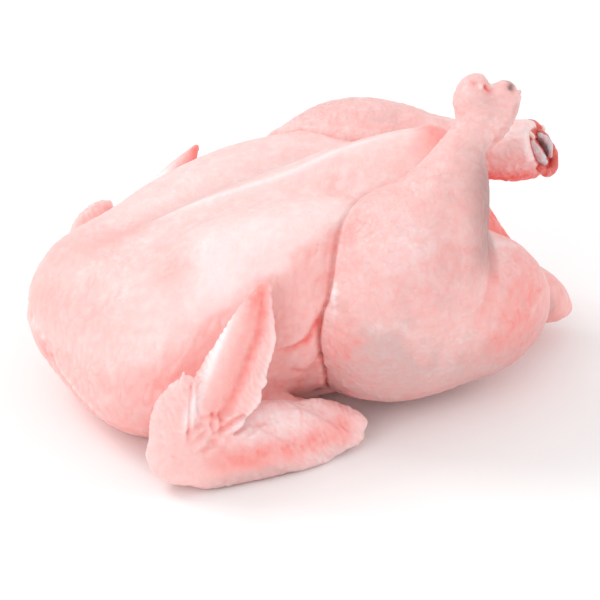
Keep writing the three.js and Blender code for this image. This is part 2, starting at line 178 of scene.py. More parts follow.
def ellipsoid(points, at, radii, along=(1, 0, 0), up=(0, 0, 1)):
    radii = np.array(radii, float)
    axes = basis(along, up)

    def form(p):
        q = (p - np.array(at, float)) @ axes / radii
        k = np.sqrt((q * q).sum(1))
        return k * (k - 1) / (np.sqrt(((q / radii) ** 2).sum(1)) + 1e-6)

    return bounded(points, at, radii.max(), form)


def curve_through(stations, steps, straight_ends=True):
    """A smooth curve through stations, as steps + 1 evenly numbered points."""
    v = np.array(stations, float)
    first, last = (2 * v[:1] - v[1:2], 2 * v[-1:] - v[-2:-1]) if straight_ends else (v[:1], v[-1:])
    v = np.vstack([first, v, last])
    s = np.linspace(0, len(v) - 3, steps + 1)
    i = np.minimum(s.astype(int), len(v) - 4)
    t = (s - i)[:, None]
    a, b, c, d = v[i], v[i + 1], v[i + 2], v[i + 3]
    square = (2 * a - 5 * b + 4 * c - d) * t ** 2
    cube = (3 * b - a - 3 * c + d) * t ** 3
    return 0.5 * (2 * b + (c - a) * t + square + cube)


def limb(points, stations, steps, face=(0, 0, 1), flatness=1.0):
    """A rounded limb through stations of x, y, z and radius, squeezed along face."""
    stations = np.array(stations, float)
    centres = curve_through(stations[:, :3], steps)
    radii = curve_through(stations[:, 3:], steps, straight_ends=False)[:, 0]
    flat = unit(face)
    squeeze = 1 / flatness ** 2 - 1
    middle = centres[steps // 2]
    size = (np.linalg.norm(centres - middle, axis=1) + radii).max()

    def form(p):
        best = np.full(len(p), np.inf)
        for i in range(steps):
            run = centres[i + 1] - centres[i]
            t = np.clip((p - centres[i]) @ run / (run @ run), 0, 1)
            v = p - centres[i] - t[:, None] * run
            radius = radii[i] + t * (radii[i + 1] - radii[i])
            away = np.sqrt((v * v).sum(1)) + 1e-6
            swollen = np.sqrt(away * away + squeeze * (v @ flat) ** 2)
            best = np.minimum(best, (swollen - radius) * away / swollen)
        return best

    return bounded(points, middle, size, form)


def breast_lobe(p, side):
    along = (0.955, side * BREAST["flare"], BREAST["pitch"])
    at = (BREAST["x"], side * BREAST["y"], BREAST["z"])
    return ellipsoid(p, at, BREAST["radii"], along, (0, side * BREAST["roll"], 1))


def shoulder(p, side):
    at = (SHOULDER["x"], side * SHOULDER["y"], SHOULDER["z"])
    return ellipsoid(p, at, SHOULDER["radii"], (1, side * SHOULDER["yaw"], 0.1))


def trunk(p):
    lobes = melt(breast_lobe(p, RIGHT), breast_lobe(p, LEFT), width=16)
    return melt_all(
        ellipsoid(p, **BACK), (ellipsoid(p, **BELLY), 30), (lobes, 14), (ellipsoid(p, **NECK), 20),
        (shoulder(p, RIGHT), 24), (shoulder(p, LEFT), 24), (limb(p, KEEL_FOOT, steps=16), 24),
        (limb(p, KEEL, steps=24), 14), (limb(p, NECK_SKIN, steps=20), 7),
    )


def shin_of(leg):
    return np.array(leg["hock"], float) - leg["knee"]


def hock(p, leg):
    """The two-knobbed end of the shin where the foot was cut off."""
    shin, hinge = shin_of(leg), unit(leg["hinge"])
    knobs = [
        ellipsoid(p, leg["hock"] + hinge * offset, leg["knob"], shin, np.cross(hinge, shin))
        for offset in (KNOB_OFFSET, -KNOB_OFFSET)
    ]
    return melt(*knobs, width=5)


def drumstick(p, leg):
    calf, shank, bow = leg["calf"], leg["shank"], np.array(leg["bow"], float)
    profile = (  # share of the way from knee to hock, radius, outward bow
        (-0.02, calf + 1, 0), (0.2, calf + 10, 2), (0.4, calf + 1.5, 5),
        (0.58, calf * 0.5 + 6.5, 4.5), (0.76, shank + 2, 2), (0.9, shank, 2.5),
    )
    stations = [(*(leg["knee"] + shin_of(leg) * t + bow * out), r) for t, r, out in profile]
    return limb(p, stations, steps=30)


def leg_of(p, leg):
    along = np.array(leg["knee"], float) - leg["hip"]
    thigh = ellipsoid(p, mix(leg["hip"], leg["knee"], 0.5), leg["thigh"], along)
    thigh = melt(thigh, ellipsoid(p, leg["apron"], APRON), width=20)
    return melt(thigh, melt(drumstick(p, leg), hock(p, leg), width=8), width=14)


def hock_axes(leg):
    """Three square axes as rows: along the shin, along the hinge and across both."""
    run = unit(shin_of(leg))
    hinge = np.array(leg["hinge"], float)
    hinge = unit(hinge - (hinge @ run) * run)
    return np.stack([run, hinge, np.cross(hinge, run)])


def on_hock(leg, spots):
    """Stations given out of the cut, along the hinge, across both, and radius, on the pattern."""
    made = []
    for out, hinge, across, radius in spots:
        along = out - CUT_LEAN[1] * hinge - CUT_LEAN[2] * across
        made.append((*(leg["hock"] + np.array((along, hinge, across)) @ hock_axes(leg)), radius))
    return made


def with_cut_end(p, d, leg):
    """Cuts the shin off flat where the foot was, hollows its end and sets the bone in it."""
    run = unit(shin_of(leg))
    normal = np.array(CUT_LEAN) @ hock_axes(leg)
    dish = ellipsoid(p, leg["hock"] + run * CUT["out"], CUT["dish"], normal, leg["hinge"])
    bone = ellipsoid(p, leg["hock"] + run * CUT["bone_out"], CUT["bone"], normal, leg["hinge"])
    beyond = CUT["face"] - (p - np.array(leg["hock"], float)) @ normal
    return melt(hollow(hollow(d, beyond, width=3), dish, width=2), bone, width=2)


def wing_face(wing):
    """The direction that the flat of the folded wing's hand faces."""
    return (-0.3, wing["side"] * 0.85, 0.4)


def blade_point(wing, t):
    """A place on the hand's bone, from the wrist at 0 to the tip at 1."""
    return mix(wing["wrist"], wing["tip"], t) + np.array(wing["sag"], float) * 4 * t * (1 - t)


def blade_axes(wing):
    """Along the hand to its tip, and across it towards the web."""
    run = np.array(wing["tip"], float) - wing["wrist"]
    return unit(run), unit(np.cross(wing_face(wing), run)) * wing["side"]


def forearm(p, wing):
    profile = ((0, 11), (0.2, 17), (0.5, 20), (0.8, 19.5), (1, 16))  # share of the way, radius
    stations = [(*mix(wing["elbow"], wing["wrist"], t), r) for t, r in profile]
    return limb(p, stations, steps=26, face=(0, wing["side"] * 0.6, 0.8), flatness=FOREARM_FLATNESS)


def hand(p, wing):
    profile = ((0, 13), (0.25, 11.5), (0.6, 9), (0.85, 6), (1, 2.4))  # share of the way, radius
    stations = [(*blade_point(wing, t), r) for t, r in profile]
    return limb(p, stations, steps=24, face=wing_face(wing), flatness=HAND_FLATNESS)


def web(p, wing):
    """The thin flap of skin behind the hand, where the quills grew."""
    across = blade_axes(wing)[1]
    profile = ((0.14, 9, 5.5), (0.4, 13, 10), (0.75, 9.5, 7.5), (1, 1, 2.4))  # share, width, radius
    stations = [(*(blade_point(wing, t) + across * out), r) for t, out, r in profile]
    return limb(p, stations, steps=30, face=wing_face(wing), flatness=WEB_FLATNESS)


def thumb(p, wing):
    """The thumb, bowed towards the neck."""
    profile = ((0, 2.5, 13), (0.5, 5.5, 11), (0.8, 3.5, 8), (1, 0, 4))  # share, bow, radius
    stations = [(*(mix(wing["wrist"], wing["thumb"], t) - (bow, 0, 0)), r) for t, bow, r in profile]
    return limb(p, stations, steps=16, face=wing_face(wing), flatness=THUMB_FLATNESS)


def thumb_claw(p, wing):
    """The small claw at the end of the thumb."""
    x, y, z = wing["thumb"]
    rise = wing["claw"]
    root, tip = (x - 1.5, y, z - 1, 2.2), (x - 2, y, z + rise, 0.4)
    return limb(p, (root, (x - 2, y, z + rise * 0.4, 1.5), tip), steps=8)


def folded_wing(p, wing):
    """The wing past its elbow: forearm, hand, web and thumb, flat where it lies on the table."""
    blade = melt(hand(p, wing), web(p, wing), width=4)
    clawed = melt(thumb(p, wing), thumb_claw(p, wing), width=2)
    d = melt_all(forearm(p, wing), (blade, 4), (clawed, 3))
    return np.maximum(d, -p[:, 2])


def upper_arm(p, wing):
    profile = ((0, 16), (0.5, 11), (1, 5.5))  # share of the way, radius
    return limb(p, [(*mix(wing["shoulder"], wing["elbow"], t), r) for t, r in profile], steps=16)


def tail(p):
    return limb(p, TAIL, steps=24, face=TAIL_FACE, flatness=TAIL_FLATNESS)


def vent(p):
    return limb(p, VENT, steps=16)


def vent_lip(p, side):
    return limb(p, [(x, side * VENT_HALF_WIDTH, z, r) for x, z, r in VENT_LIP], steps=16)


def bird_without_wings(p):
    """Everything but the wings past their elbows, flat where it lies on the table."""
    flap = limb(p, SHANK_FLAP, steps=16, face=SHANK_FLAP_FACE, flatness=SHANK_FLAP_FLATNESS)
    raised = melt(leg_of(p, RAISED_LEG), flap, width=3)
    lowered = with_cut_end(p, leg_of(p, LOWERED_LEG), LOWERED_LEG)
    d = melt_all(trunk(p), (raised, 1), (lowered, 1), (tail(p), 8))
    d = melt_all(d, (vent_lip(p, RIGHT), 6), (vent_lip(p, LEFT), 6))
    d = hollow(d, vent(p), width=4)
    d = melt_all(d, (upper_arm(p, RIGHT_WING), 3), (upper_arm(p, LEFT_WING), 3))
    return np.maximum(d, -p[:, 2])


def in_batches(form, points, size=16384):
    """A form of many points, worked out a batch at a time to stay in the processor's cache."""
    return np.concatenate([form(points[i:i + size]) for i in range(0, len(points), size)])


# ---------------------------------------------------------------- drawing a surface


def crossings(values, axis):
    """Where grid edges along an axis cross the surface, and the four cells round each place."""
    n = values.shape[axis]
    first = np.take(values, range(n - 1), axis)
    second = np.take(values, range(1, n), axis)
    at = np.argwhere((first < 0) != (second < 0))
    a = first[tuple(at.T)]
    b = second[tuple(at.T)]
    points = at.astype(float)
    points[:, axis] += a / (a - b)
    u, w = (axis + 1) % 3, (axis + 2) % 3
    cells = np.repeat(at[:, None, :], 4, axis=1)
    cells[:, [0, 3], u] -= 1
    cells[:, [0, 1], w] -= 1
    keys = np.ravel_multi_index(tuple(np.moveaxis(cells, 2, 0)), values.shape)
    keys[a >= 0] = keys[a >= 0][:, ::-1]
    return points, keys


def fine_values(form, low, high, step, share=4):
    """A form on a fine grid, exact only near the surface, which a coarse grid finds first."""
    low = np.array(low, float)
    coarse = step * share
    cells = np.ceil((np.array(high) - low) / coarse).astype(int)
    nodes = np.argwhere(np.ones(cells + 1, bool))
    far = in_batches(form, low + nodes * coarse).reshape(cells + 1)
    corners = [far[i:cells[0] + i, j:cells[1] + j, k:cells[2] + k]
               for i in (0, 1) for j in (0, 1) for k in (0, 1)]
    near = np.abs(np.stack(corners)).min(0) < coarse * 1.1
    values = np.where(corners[0] < 0, -coarse, coarse)
    for axis in range(3):
        near = near.repeat(share, axis)
        values = values.repeat(share, axis)
    values = np.pad(values, (0, 1), mode="edge")
    wanted = np.pad(near, (0, 1))
    for axis in range(3):
        wanted |= np.roll(wanted, 1, axis)
    at = np.argwhere(wanted)
    values[wanted] = in_batches(form, low + at * step)
    return values


def draw_surface(form, low, high, step):
    """Points and four-sided faces of the zero surface, one point to each grid cell it crosses."""
    values = fine_values(form, low, high, step)
    found = [crossings(values, axis) for axis in range(3)]
    marks = np.repeat(np.concatenate([points for points, _ in found]), 4, axis=0)
    keys = np.concatenate([cells for _, cells in found])
    faces = np.unique(keys.ravel(), return_inverse=True)[1]
    sums = [np.bincount(faces, weights=marks[:, i]) for i in range(3)]
    points = np.stack(sums, 1) / np.bincount(faces)[:, None]
    return np.array(low, float) + points * step, faces.reshape(-1, 4)


def neighbour_mean(values, faces):
    """For each point, the mean of its neighbours' values."""
    ends = np.concatenate([faces.ravel(), np.roll(faces, -1, 1).ravel()])
    others = np.concatenate([np.roll(faces, -1, 1).ravel(), faces.ravel()])
    count = len(values)
    sums = [np.bincount(ends, weights=column[others], minlength=count) for column in values.T]
    return (np.stack(sums) / np.bincount(ends, minlength=count)).T


def relax(points, faces, rounds):
    for _ in range(rounds):
        points = mix(points, neighbour_mean(points, faces), 0.6)
    return points


def settle(form, points, rounds=2, nudge=0.15):
    """Moves points onto the zero surface along the slope of the form."""
    for _ in range(rounds):
        value = in_batches(form, points)
        beside = [in_batches(form, points + step) for step in np.eye(3) * nudge]
        slope = np.stack([other - value for other in beside], 1) / nudge
        steep = np.maximum((slope ** 2).sum(1), 0.3)
        points = points - (value / steep)[:, None] * slope
    return points


def normals_of(points, faces):
    a, b, c, d = (points[faces[:, i]] for i in range(4))
    normal = np.cross(c - a, d - b)
    total = np.zeros_like(points)
    for corner in range(4):
        for axis in range(3):
            total[:, axis] += np.bincount(faces[:, corner], normal[:, axis], len(points))
    return total / (np.linalg.norm(total, axis=1)[:, None] + 1e-9)


# ---------------------------------------------------------------- noise

# Big numbers that mix up places and seeds
PLACE_FACTORS = np.array((73856093, 19349663, 83492791), np.uint64)
SEED_FACTOR = 2654435761
MIX_FACTOR = np.uint64(1274126177)
LOW_BITS = 0xFFFF  # the part of a mixed-up number that is used


def scramble(cells, seed):
    """A steady random number from -1 to 1 for each whole-numbered place."""
    x, y, z = np.moveaxis(cells.astype(np.uint64) * PLACE_FACTORS, -1, 0)
    h = x ^ y ^ z ^ np.uint64(seed * SEED_FACTOR)
    h = (h ^ (h >> np.uint64(13))) * MIX_FACTOR
    h = h ^ (h >> np.uint64(16))
    return (h & np.uint64(LOW_BITS)).astype(float) / (LOW_BITS / 2) - 1


def noise(points, size, seed):
    """Smooth noise from about -1 to 1 with lumps of the given size."""
    p = points / size + 1000  # so that no place is below zero
    cell = np.floor(p).astype(np.int64)
    t = p - cell
    t = t * t * t * (t * (t * 6 - 15) + 10)
    total = np.zeros(len(p))
    for corner in np.ndindex(2, 2, 2):
        weight = np.prod(np.where(corner, t, 1 - t), axis=1)
        total += weight * scramble(cell + corner, seed)
    return total


def wobbled(points, size):
    """The points pushed about by noise, so that what is drawn from them has no straight edges."""
    return points + 0.4 * size * np.stack([noise(points, size, seed) for seed in (7, 8, 9)], 1)


def creases(points, size, seed):
    """Sharp valleys between soft ridges, from -0.5 in the valleys to about 0.4."""
    swirl = np.stack([noise(points, size * 1.7, seed + i) for i in (11, 12, 13)], 1) * size * 0.5
    return np.sqrt(np.abs(noise(points + swirl, size, seed)) + 0.01) - 0.6


def strokes(points, along, size, stretch, seed):
    """Fine creases drawn out in one direction."""
    run = unit(along)
    return creases(points - (1 - 1 / stretch) * (points @ run)[:, None] * run, size, seed)


def waves(along, spacing=1):
    """Rounded ridges and troughs, one of each in a spacing."""
    return np.cos(2 * np.pi * along / spacing)


# ---------------------------------------------------------------- folds
# A fold is a line on the skin: points, half width, height (below zero for a groove), height of
# the lip on its one side, how red it is (below zero for pale), how grey, and how pale its lip is.
# The red and grey along a groove are painted shade, and the pale along a raised fold or on a lip
# is a painted highlight.


def fold(points, width, height, lip=0.0, flush=0.0, cool=0.0, rim=0.0):
    return dict(points=points, width=width, height=height, lip=lip, flush=flush, cool=cool, rim=rim)


# The grooves beside the keel are painted grey as shade, and its ridges painted pale as highlights.
KEEL_FOLDS = (
    fold(
        ((-104, 16, 84), (-80, 7, 92), (-48, 9, 104), (-13, 14, 112), (18, 19, 115), (44, 21, 117)),
        8, -2.9, cool=0.4,
    ),
    fold(((-82, -17, 84), (-45, -21, 96), (-5, -22, 106), (34, -20, 114)), 8, -1.5, cool=0.12),
    fold(((-90, 4, 88), (-50, -3, 103), (-11, -5, 113), (30, 0, 125), (68, 1, 129)),
         2.8, 1.2, flush=-0.55),
    fold(((-78, -40, 86), (-40, -46, 96), (0, -46, 104), (22, -42, 112)), 10, 0.8, flush=-0.3),
)
FLANK_FOLDS = (
    fold(((-32, -77, 52), (-23, -78, 54), (-15, -78, 58), (-10, -79, 66), (-6, -79, 76)),
         1.8, -1.5, 0.7, 0.34),
    fold(((-24, -76, 40), (-15, -75, 38), (-8, -74, 42)), 3, -0.6, 0.4, 0.04, cool=0.2),
    fold(((-20, -75, 26), (-13, -73, 32), (-8, -73, 44), (-7, -77, 54)), 3, -0.8, 0.5, 0.08),
    fold(((-100, -80, 42), (-84, -84, 46), (-72, -84, 52), (-62, -82, 60)), 4, -1.0, 0.5, 0.05),
    fold(((-34, 77, 48), (-22, 78, 56), (-10, 78, 66)), 2.4, -1.2, 0.8, 0.16),
    fold(((-38, 75, 32), (-24, 75, 36), (-10, 74, 42)), 3, -0.8, 0.5, 0.08),
)
THIGH_FOLDS = (
    fold(((9, -92, 66), (15, -93, 69), (21, -95, 72), (28, -96, 71), (35, -94, 67)),
         2.6, 0.4, flush=-0.08),
    fold(((58, -88, 97), (66, -83, 92), (73, -79, 87)), 2.5, -0.5, 0.4, 0.06),
    fold(((62, -86, 104), (70, -80, 99), (77, -74, 94)), 2.5, -0.4, 0.3, 0.05),
    # The grey along the drumstick's back edge is painted shade.
    fold(((84, -57, 117), (85, -61, 104), (84, -64, 92), (83, -70, 84), (82, -75, 77)),
         1.6, 0.4, cool=0.9),
    fold(
        ((87, -58, 92), (84, -66, 86), (82, -73, 79), (79, -79, 70), (73, -83, 64), (66, -86, 56)),
        3.4, -1.6, 0.5, 0.16,
    ),
    fold(((85, -60, 92), (90, -54, 89), (96, -50, 86), (102, -46, 82), (107, -42, 78)),
         1.8, 0.6, flush=-0.16),
    fold(((102, -72, 46), (106, -68, 53), (111, -63, 56), (115, -57, 58), (119, -51, 58)),
         1.6, 0.5, flush=-0.1),
    fold(((98, -72, 50), (103, -66, 57), (109, -60, 60), (113, -54, 62)), 2.6, -0.7, flush=0.06),
    fold(((4, -76, 22), (10, -78, 17), (22, -80, 13)), 2.4, 1.0, flush=0.3),
    fold(((12, 91, 64), (22, 94, 62), (34, 95, 66)), 2.4, -0.5, 0.4, 0.05),
    fold(((60, 84, 84), (78, 74, 78), (94, 60, 70)), 3, -0.8, 0.5, 0.1),
)
NECK_FOLDS = (
    fold(((-138, -24, 42), (-132, -34, 29), (-122, -54, 20), (-108, -68, 12)),
         2.2, -1.3, 1.4, 0.16, rim=0.14),
    fold(((-140, 20, 40), (-130, 40, 27), (-118, 58, 18), (-104, 70, 12)),
         2.2, -1.2, 1.0, 0.16, rim=0.14),
    fold(((-141, -14, 50), (-143, 4, 47), (-140, 24, 48)), 2.4, -1.0, 0.8, 0.1),
)
HOCK_FOLDS = (
    # The grey along the flap's edge is painted shade on the shank's side.
    fold(((104, -32, 160), (103, -34, 151), (100, -35, 143), (96, -37, 136)),
         2.6, -0.7, 0.3, cool=0.8),
    fold(((90, -42, 140), (95, -41, 136), (98, -37, 133)), 1.4, -0.6, 0.3, 0.06, cool=0.3),
)
BODY_LUMPS = (  # x, y, z, radius, height, flush (below zero for pale)
    (-0.9, -78, 88, 1.1, 0.3, -0.6), (-0.9, -79, 84.2, 1.6, 0.6, -0.8),
    (-1.1, -79.6, 81.6, 1.0, 0.3, -0.6), (-0.7, -81, 79, 1.3, 0.5, -0.5),
    (-1.4, -83, 74.5, 2.4, 0.8, -0.2), (-5, -77, 44, 3, 1.0, 0.15), (-5, -70, 28, 3, 1.2, 0.25),
    (-3, -66, 20, 2.4, 0.9, -0.3), (82, -30, 167, 1.9, -0.5, 0.45),
    (88.6, -32, 165.4, 1.2, -1.4, 1.8), (89.8, -32, 164, 1.0, -0.8, 1.4),
    # The pale lumps at (85, -32, 166) and (92, -28, 164) are painted highlights, glints on the
    # hock's knobs.
    (88.6, -32, 165, 3.2, 0, 0.2), (85, -32, 166, 1.2, 0.3, -0.7), (92, -28, 164, 1.6, 0.3, -0.6),
    (80, -30, 162, 3.5, 0.4, -0.2), (-143, -3, 49, 2.4, 1.1, -0.1), (-142, -10, 49, 2.2, 1.2, -0.2),
    (-141, -16, 47, 2.0, 1.0, 0), (-139.5, -21, 44, 2.2, 1.2, -0.2), (-138, -25, 38, 2.4, 1.0, 0),
)
DARK_SPOTS = (  # x, y, z, radius, height (below zero for a pit), share of dark
    (101, -32.5, 164, 2.1, -1.2, 0.8), (102.5, -30, 165, 1.7, -0.6, 0.7),
    (101, -27, 165.5, 1.5, -0.3, 0.4), (88.6, -32, 165.4, 1.1, -0.4, 0.5),
    # The three spots low in the near leg's crease, at (-5, -64, 20), (-6, -76, 48) and (-4, -74,
    # 40), are painted shade.
    (82.5, -31, 168, 1.2, -0.3, 0.16), (-5, -64, 20, 3, -1.4, 0.75), (-6, -76, 48, 2, -0.5, 0.4),
    (-4, -74, 40, 2, -0.6, 0.35),
)
BODY_FOLDS = KEEL_FOLDS + FLANK_FOLDS + THIGH_FOLDS + NECK_FOLDS + HOCK_FOLDS
RIB_LINE = (  # along the side, and how high the breast meat ends there
    (-140, -100, -87, -74, -61, -46, -31, -18, -5, 10),
    (44, 51, 57, 63, 72, 84, 94, 102, 109, 114),
)


def along_line(points, normals, line, reach):
    """The points near a line on the skin: which, how far off, on which side, and how far along."""
    count = max(12, int(np.linalg.norm(np.diff(np.array(line, float), axis=0), axis=1).sum() / 2))
    route = curve_through(line, count)
    low, high = route.min(0) - reach, route.max(0) + reach
    near = np.nonzero(((points > low) & (points < high)).all(1))[0]
    best = np.full(len(near), np.inf)
    side = np.zeros(len(near))
    share = np.zeros(len(near))
    for i in range(count):
        run = route[i + 1] - route[i]
        t = np.clip((points[near] - route[i]) @ run / (run @ run), 0, 1)
        v = points[near] - route[i] - t[:, None] * run
        v = v - (v * normals[near]).sum(1)[:, None] * normals[near] * 0.8
        away = np.linalg.norm(v, axis=1)
        closer = away < best
        best[closer] = away[closer]
        side[closer] = np.sign((np.cross(normals[near], run) * v).sum(1))[closer]
        share[closer] = ((i + t) / count)[closer]
    return near, best, side, share


def add_folds(height, flush, cool, points, normals, folds):
    """Adds folds to the height and the tints, fading out at their ends."""
    for item in folds:
        width = item["width"]
        near, away, side, share = along_line(points, normals, item["points"], width * 4)
        fade = smooth_step(0, 0.25, share) * smooth_step(1, 0.75, share)
        groove = np.exp(-(away / width) ** 2)
        lip = np.exp(-((away - width * 1.9) / (width * 1.1)) ** 2) * (side > 0)
        height[near] += fade * (item["height"] * groove + item["lip"] * lip)
        tint = fade * np.exp(-(away / (width * 1.3)) ** 2)
        flush[near] += item["flush"] * tint - fade * item["rim"] * lip
        cool[near] += item["cool"] * tint


def add_lumps(height, tint, points, lumps):
    """Small rounded lumps or pits at x, y, z with a radius, a height and a tint."""
    for x, y, z, radius, rise, colour in lumps:
        lump = bell(points, (x, y, z), radius)
        height += rise * lump
        tint += colour * lump


# Along the hand from the wrist, and how far across it the web starts and ends
WEB_ROOT = ((30, 50, 70, 82, 92), (11.7, 10.7, 8.5, 5, 0))
WEB_EDGE = ((13, 37, 69, 92), (14.5, 23, 17, 3.4))
WRIST_LUMPS = (  # from the wrist: along the body, outward, up, radius, height, flush
    (12, 3, 23, 2.4, 1.4, -0.1), (16, 4, 19, 2.5, 2.0, -0.2), (21, 3, 16, 2.3, 2.0, -0.1),
    (24, 2, 19, 2.0, 1.6, -0.2), (28, 4, 16, 2.1, 1.6, -0.2), (24, 3, 12, 2.2, 1.3, 0),
    (15, 5, 14, 2.4, 1.3, 0), (19, 4, 9, 2.2, 1.0, 0), (33, 4, 15, 2.0, 1.2, -0.2),
    (10, 5, 16, 2.2, 1.0, 0),
)
HAND_FOLDS = (  # from the wrist: along the body, outward, up
    fold(((7, 5, 45), (6, 6, 42), (5, 7, 34), (4, 8, 24), (3, 9, 14), (2, 9, 8)),
         1.3, -1.4, flush=0.4),
    fold(((33, 1, 21), (31, 3, 19), (27, 3, 17), (23, 3, 15), (20, 3, 13), (17, 4, 11)),
         1.3, -1.5, 0.8, 0.4),
    fold(((17, 4, 25), (16, 4, 22), (15, 5, 18), (16, 5, 13), (17, 5, 10)), 1.1, -1.1, 0.5, 0.35),
    fold(((20, 3, 22), (20, 3, 19), (20, 3, 16), (19, 4, 13)), 1.1, -1.0, 0.5, 0.3),
    fold(((8, 5, 22), (11, 4, 22), (15, 4, 22), (19, 3, 21), (23, 2, 21)), 1.2, -0.9, 0.4, 0.3),
    fold(((2, 10, 15), (4, 9, 17), (9, 5, 18), (12, 5, 19)), 1.4, -0.8, 0.5, 0.14),
    fold(((3, 10, 9), (6, 9, 11), (11, 6, 14), (14, 5, 15)), 1.4, -0.8, 0.5, 0.14),
    fold(((8, 9, 4), (11, 9, 6), (17, 6, 9), (22, 4, 11)), 1.4, -0.8, 0.5, 0.14),
    fold(((20, 6, 6), (24, 5, 10), (30, 0, 10), (36, -2, 12)), 1.5, -0.7, 0.5, 0.12),
    fold(((30, 2, 5), (35, 0, 9), (41, -3, 10), (47, -5, 10)), 1.6, -0.6, 0.4, 0.1),
)


# ---------------------------------------------------------------- the cut hock
# Small wet pieces of the lowered leg: name, finish, and limbs of stations out of the cut,
# along the hinge, across both, and radius.

CUT_PIECES = (
    ("cut_cartilage", "cartilage", (
        ((10.8, -10, 2.5, 1.8), (11.4, -6, 4.6, 2.6), (11.6, 0, 5.4, 2.7), (11, 6, 5, 2)),
        ((11, -4, -5.4, 1.8), (11.6, 2, -5.8, 2.6), (11.4, 7, -4.4, 2.2), (10.8, 11, -2, 1.5)),
    )),
    ("cut_marrow", "marrow", (
        ((11.4, -6, -1.5, 1.1), (12.2, -2, -0.9, 1.7), (12.2, 3, -0.4, 1.6), (11.4, 7, 0.4, 1)),
    )),
    ("cut_flesh", "flesh", (
        ((9.6, 6, -9, 1.8), (10.2, 12, -7.2, 2.5), (10.6, 16, -2, 2.8), (10.4, 16, 3.5, 2.8),
         (10, 12, 8, 2.6), (9.6, 5, 9, 2)),
        ((3, -9, -9.2, 1.6), (6, -10, -9.4, 2.4), (9, -9, -9.2, 2.6), (10.6, -6, -8.8, 1.9)),
        ((7, -1, -9.4, 1.4), (9.6, 1, -9.6, 2), (10.8, 5, -8.8, 1.7)),
    )),
    ("cut_tendon", "sinew", (
        ((6, -5, -9.6, 1), (9.4, -5, -10, 1.6), (11.8, -4.6, -9.6, 1.5), (13, -4, -8.6, 0.8)),
        ((9.8, -15, -1, 1), (11.2, -13.6, 0, 1.4), (12.2, -12, 1, 1)),
    )),
)


# ---------------------------------------------------------------- the skin's relief


def steepness(values, points, faces):
    """How fast a value changes over the skin, at each point."""
    ends, others = faces.ravel(), np.roll(faces, -1, 1).ravel()
    change = np.abs(values[ends] - values[others])
    change /= np.linalg.norm(points[ends] - points[others], axis=1) + 1e-9
    steep = np.zeros(len(points))
    np.maximum.at(steep, ends, change)
    np.maximum.at(steep, others, change)
    return neighbour_mean(steep[:, None], faces)[:, 0]


LEG_EDGE = 1.5  # how far the leg's skin fades into the body's, to either side of the crease
CREASE_WIDTH = 0.8
SHADE_WIDTH = 4.5  # of the strip of body beside the crease that lies in shade
BRINK_HIGHLIGHT = dict(off=2.6, width=1.5)  # the edge of the leg beside the crease, painted pale as a highlight
STEEPNESS = (0.1, 2)  # least and most that the difference between two forms is taken to change


def body_shares(points, faces):
    """How much of each body point belongs to each region, and how near a leg's crease it lies."""
    x, y, z = points.T
    body = in_batches(trunk, points)
    legs = in_batches(lambda p: np.minimum(leg_of(p, RAISED_LEG), leg_of(p, LOWERED_LEG)), points)
    lips = np.minimum(vent_lip(points, RIGHT), vent_lip(points, LEFT))
    leg = smooth_step(-LEG_EDGE, LEG_EDGE, body - legs)
    gap = np.abs(body - legs) / np.clip(steepness(body - legs, points, faces), *STEEPNESS)
    crease = np.exp(-(gap / CREASE_WIDTH) ** 2) * smooth_step(3, 1.5, np.abs(legs))
    crease = (crease + neighbour_mean(crease[:, None], faces)[:, 0]) / 2
    beside = smooth_step(0, 1, legs - body)
    ribs = np.interp(x, *RIB_LINE) - z + 3 * noise(points, 14, 5) + 1.5 * noise(points, 5, 6)
    brink_highlight = np.exp(-((gap - BRINK_HIGHLIGHT["off"]) / BRINK_HIGHLIGHT["width"]) ** 2)
    opening = smooth_step(16, 5, np.minimum(vent(points), lips))
    return dict(
        leg=leg,
        ribs=smooth_step(-3, 7, ribs) * (1 - leg),
        tail=smooth_step(-2, 2, np.minimum(body, legs) - tail(points)),
        crease=crease,
        shade=np.exp(-(gap / SHADE_WIDTH) ** 2) * beside,
        brink_highlight=brink_highlight * (1 - beside) * smooth_step(9, 4, np.abs(legs - body)),
        vent=opening * smooth_step(-LEG_EDGE, LEG_EDGE, legs - body),
    )


# Depths of the layers of relief, in millimetres
BODY_DEPTH = dict(
    swell=0.7, wave=0.35, slack=0.16, slack_pleats=0.42, neck_pleats=0.15, breast_pleats=0.26,
    net=0.12, leg_net=0.26, far_grain=0.45, near_grain=0.2, lobe=0.3, crease=0.9, low_crease=1.3,
    shank_rings=0.14,
)
WING_DEPTH = dict(
    quills=0.17, scallops=0.85, trough=1.8, hand=0.03, thumb=0.2, slant=0.03, drawn=0.16, lumps=0.3,
    grain=0.18, crinkle=0.4, wrist_crinkle=0.7, swell=0.5, wrist=0.9, fine=0.4,
)


def hock_relief(points, leg):
    """Rings of slack skin round the shank, near the hock."""
    run = unit(shin_of(leg))
    v = points - np.array(leg["hock"], float)
    s = v @ run
    off = np.linalg.norm(v - s[:, None] * run, axis=1)
    on = smooth_step(-44, -28, s) * smooth_step(4, -6, s) * (off < 32)
    return on * BODY_DEPTH["shank_rings"] * waves(s / 4.0 + noise(points, 9, 41) * 1.2)


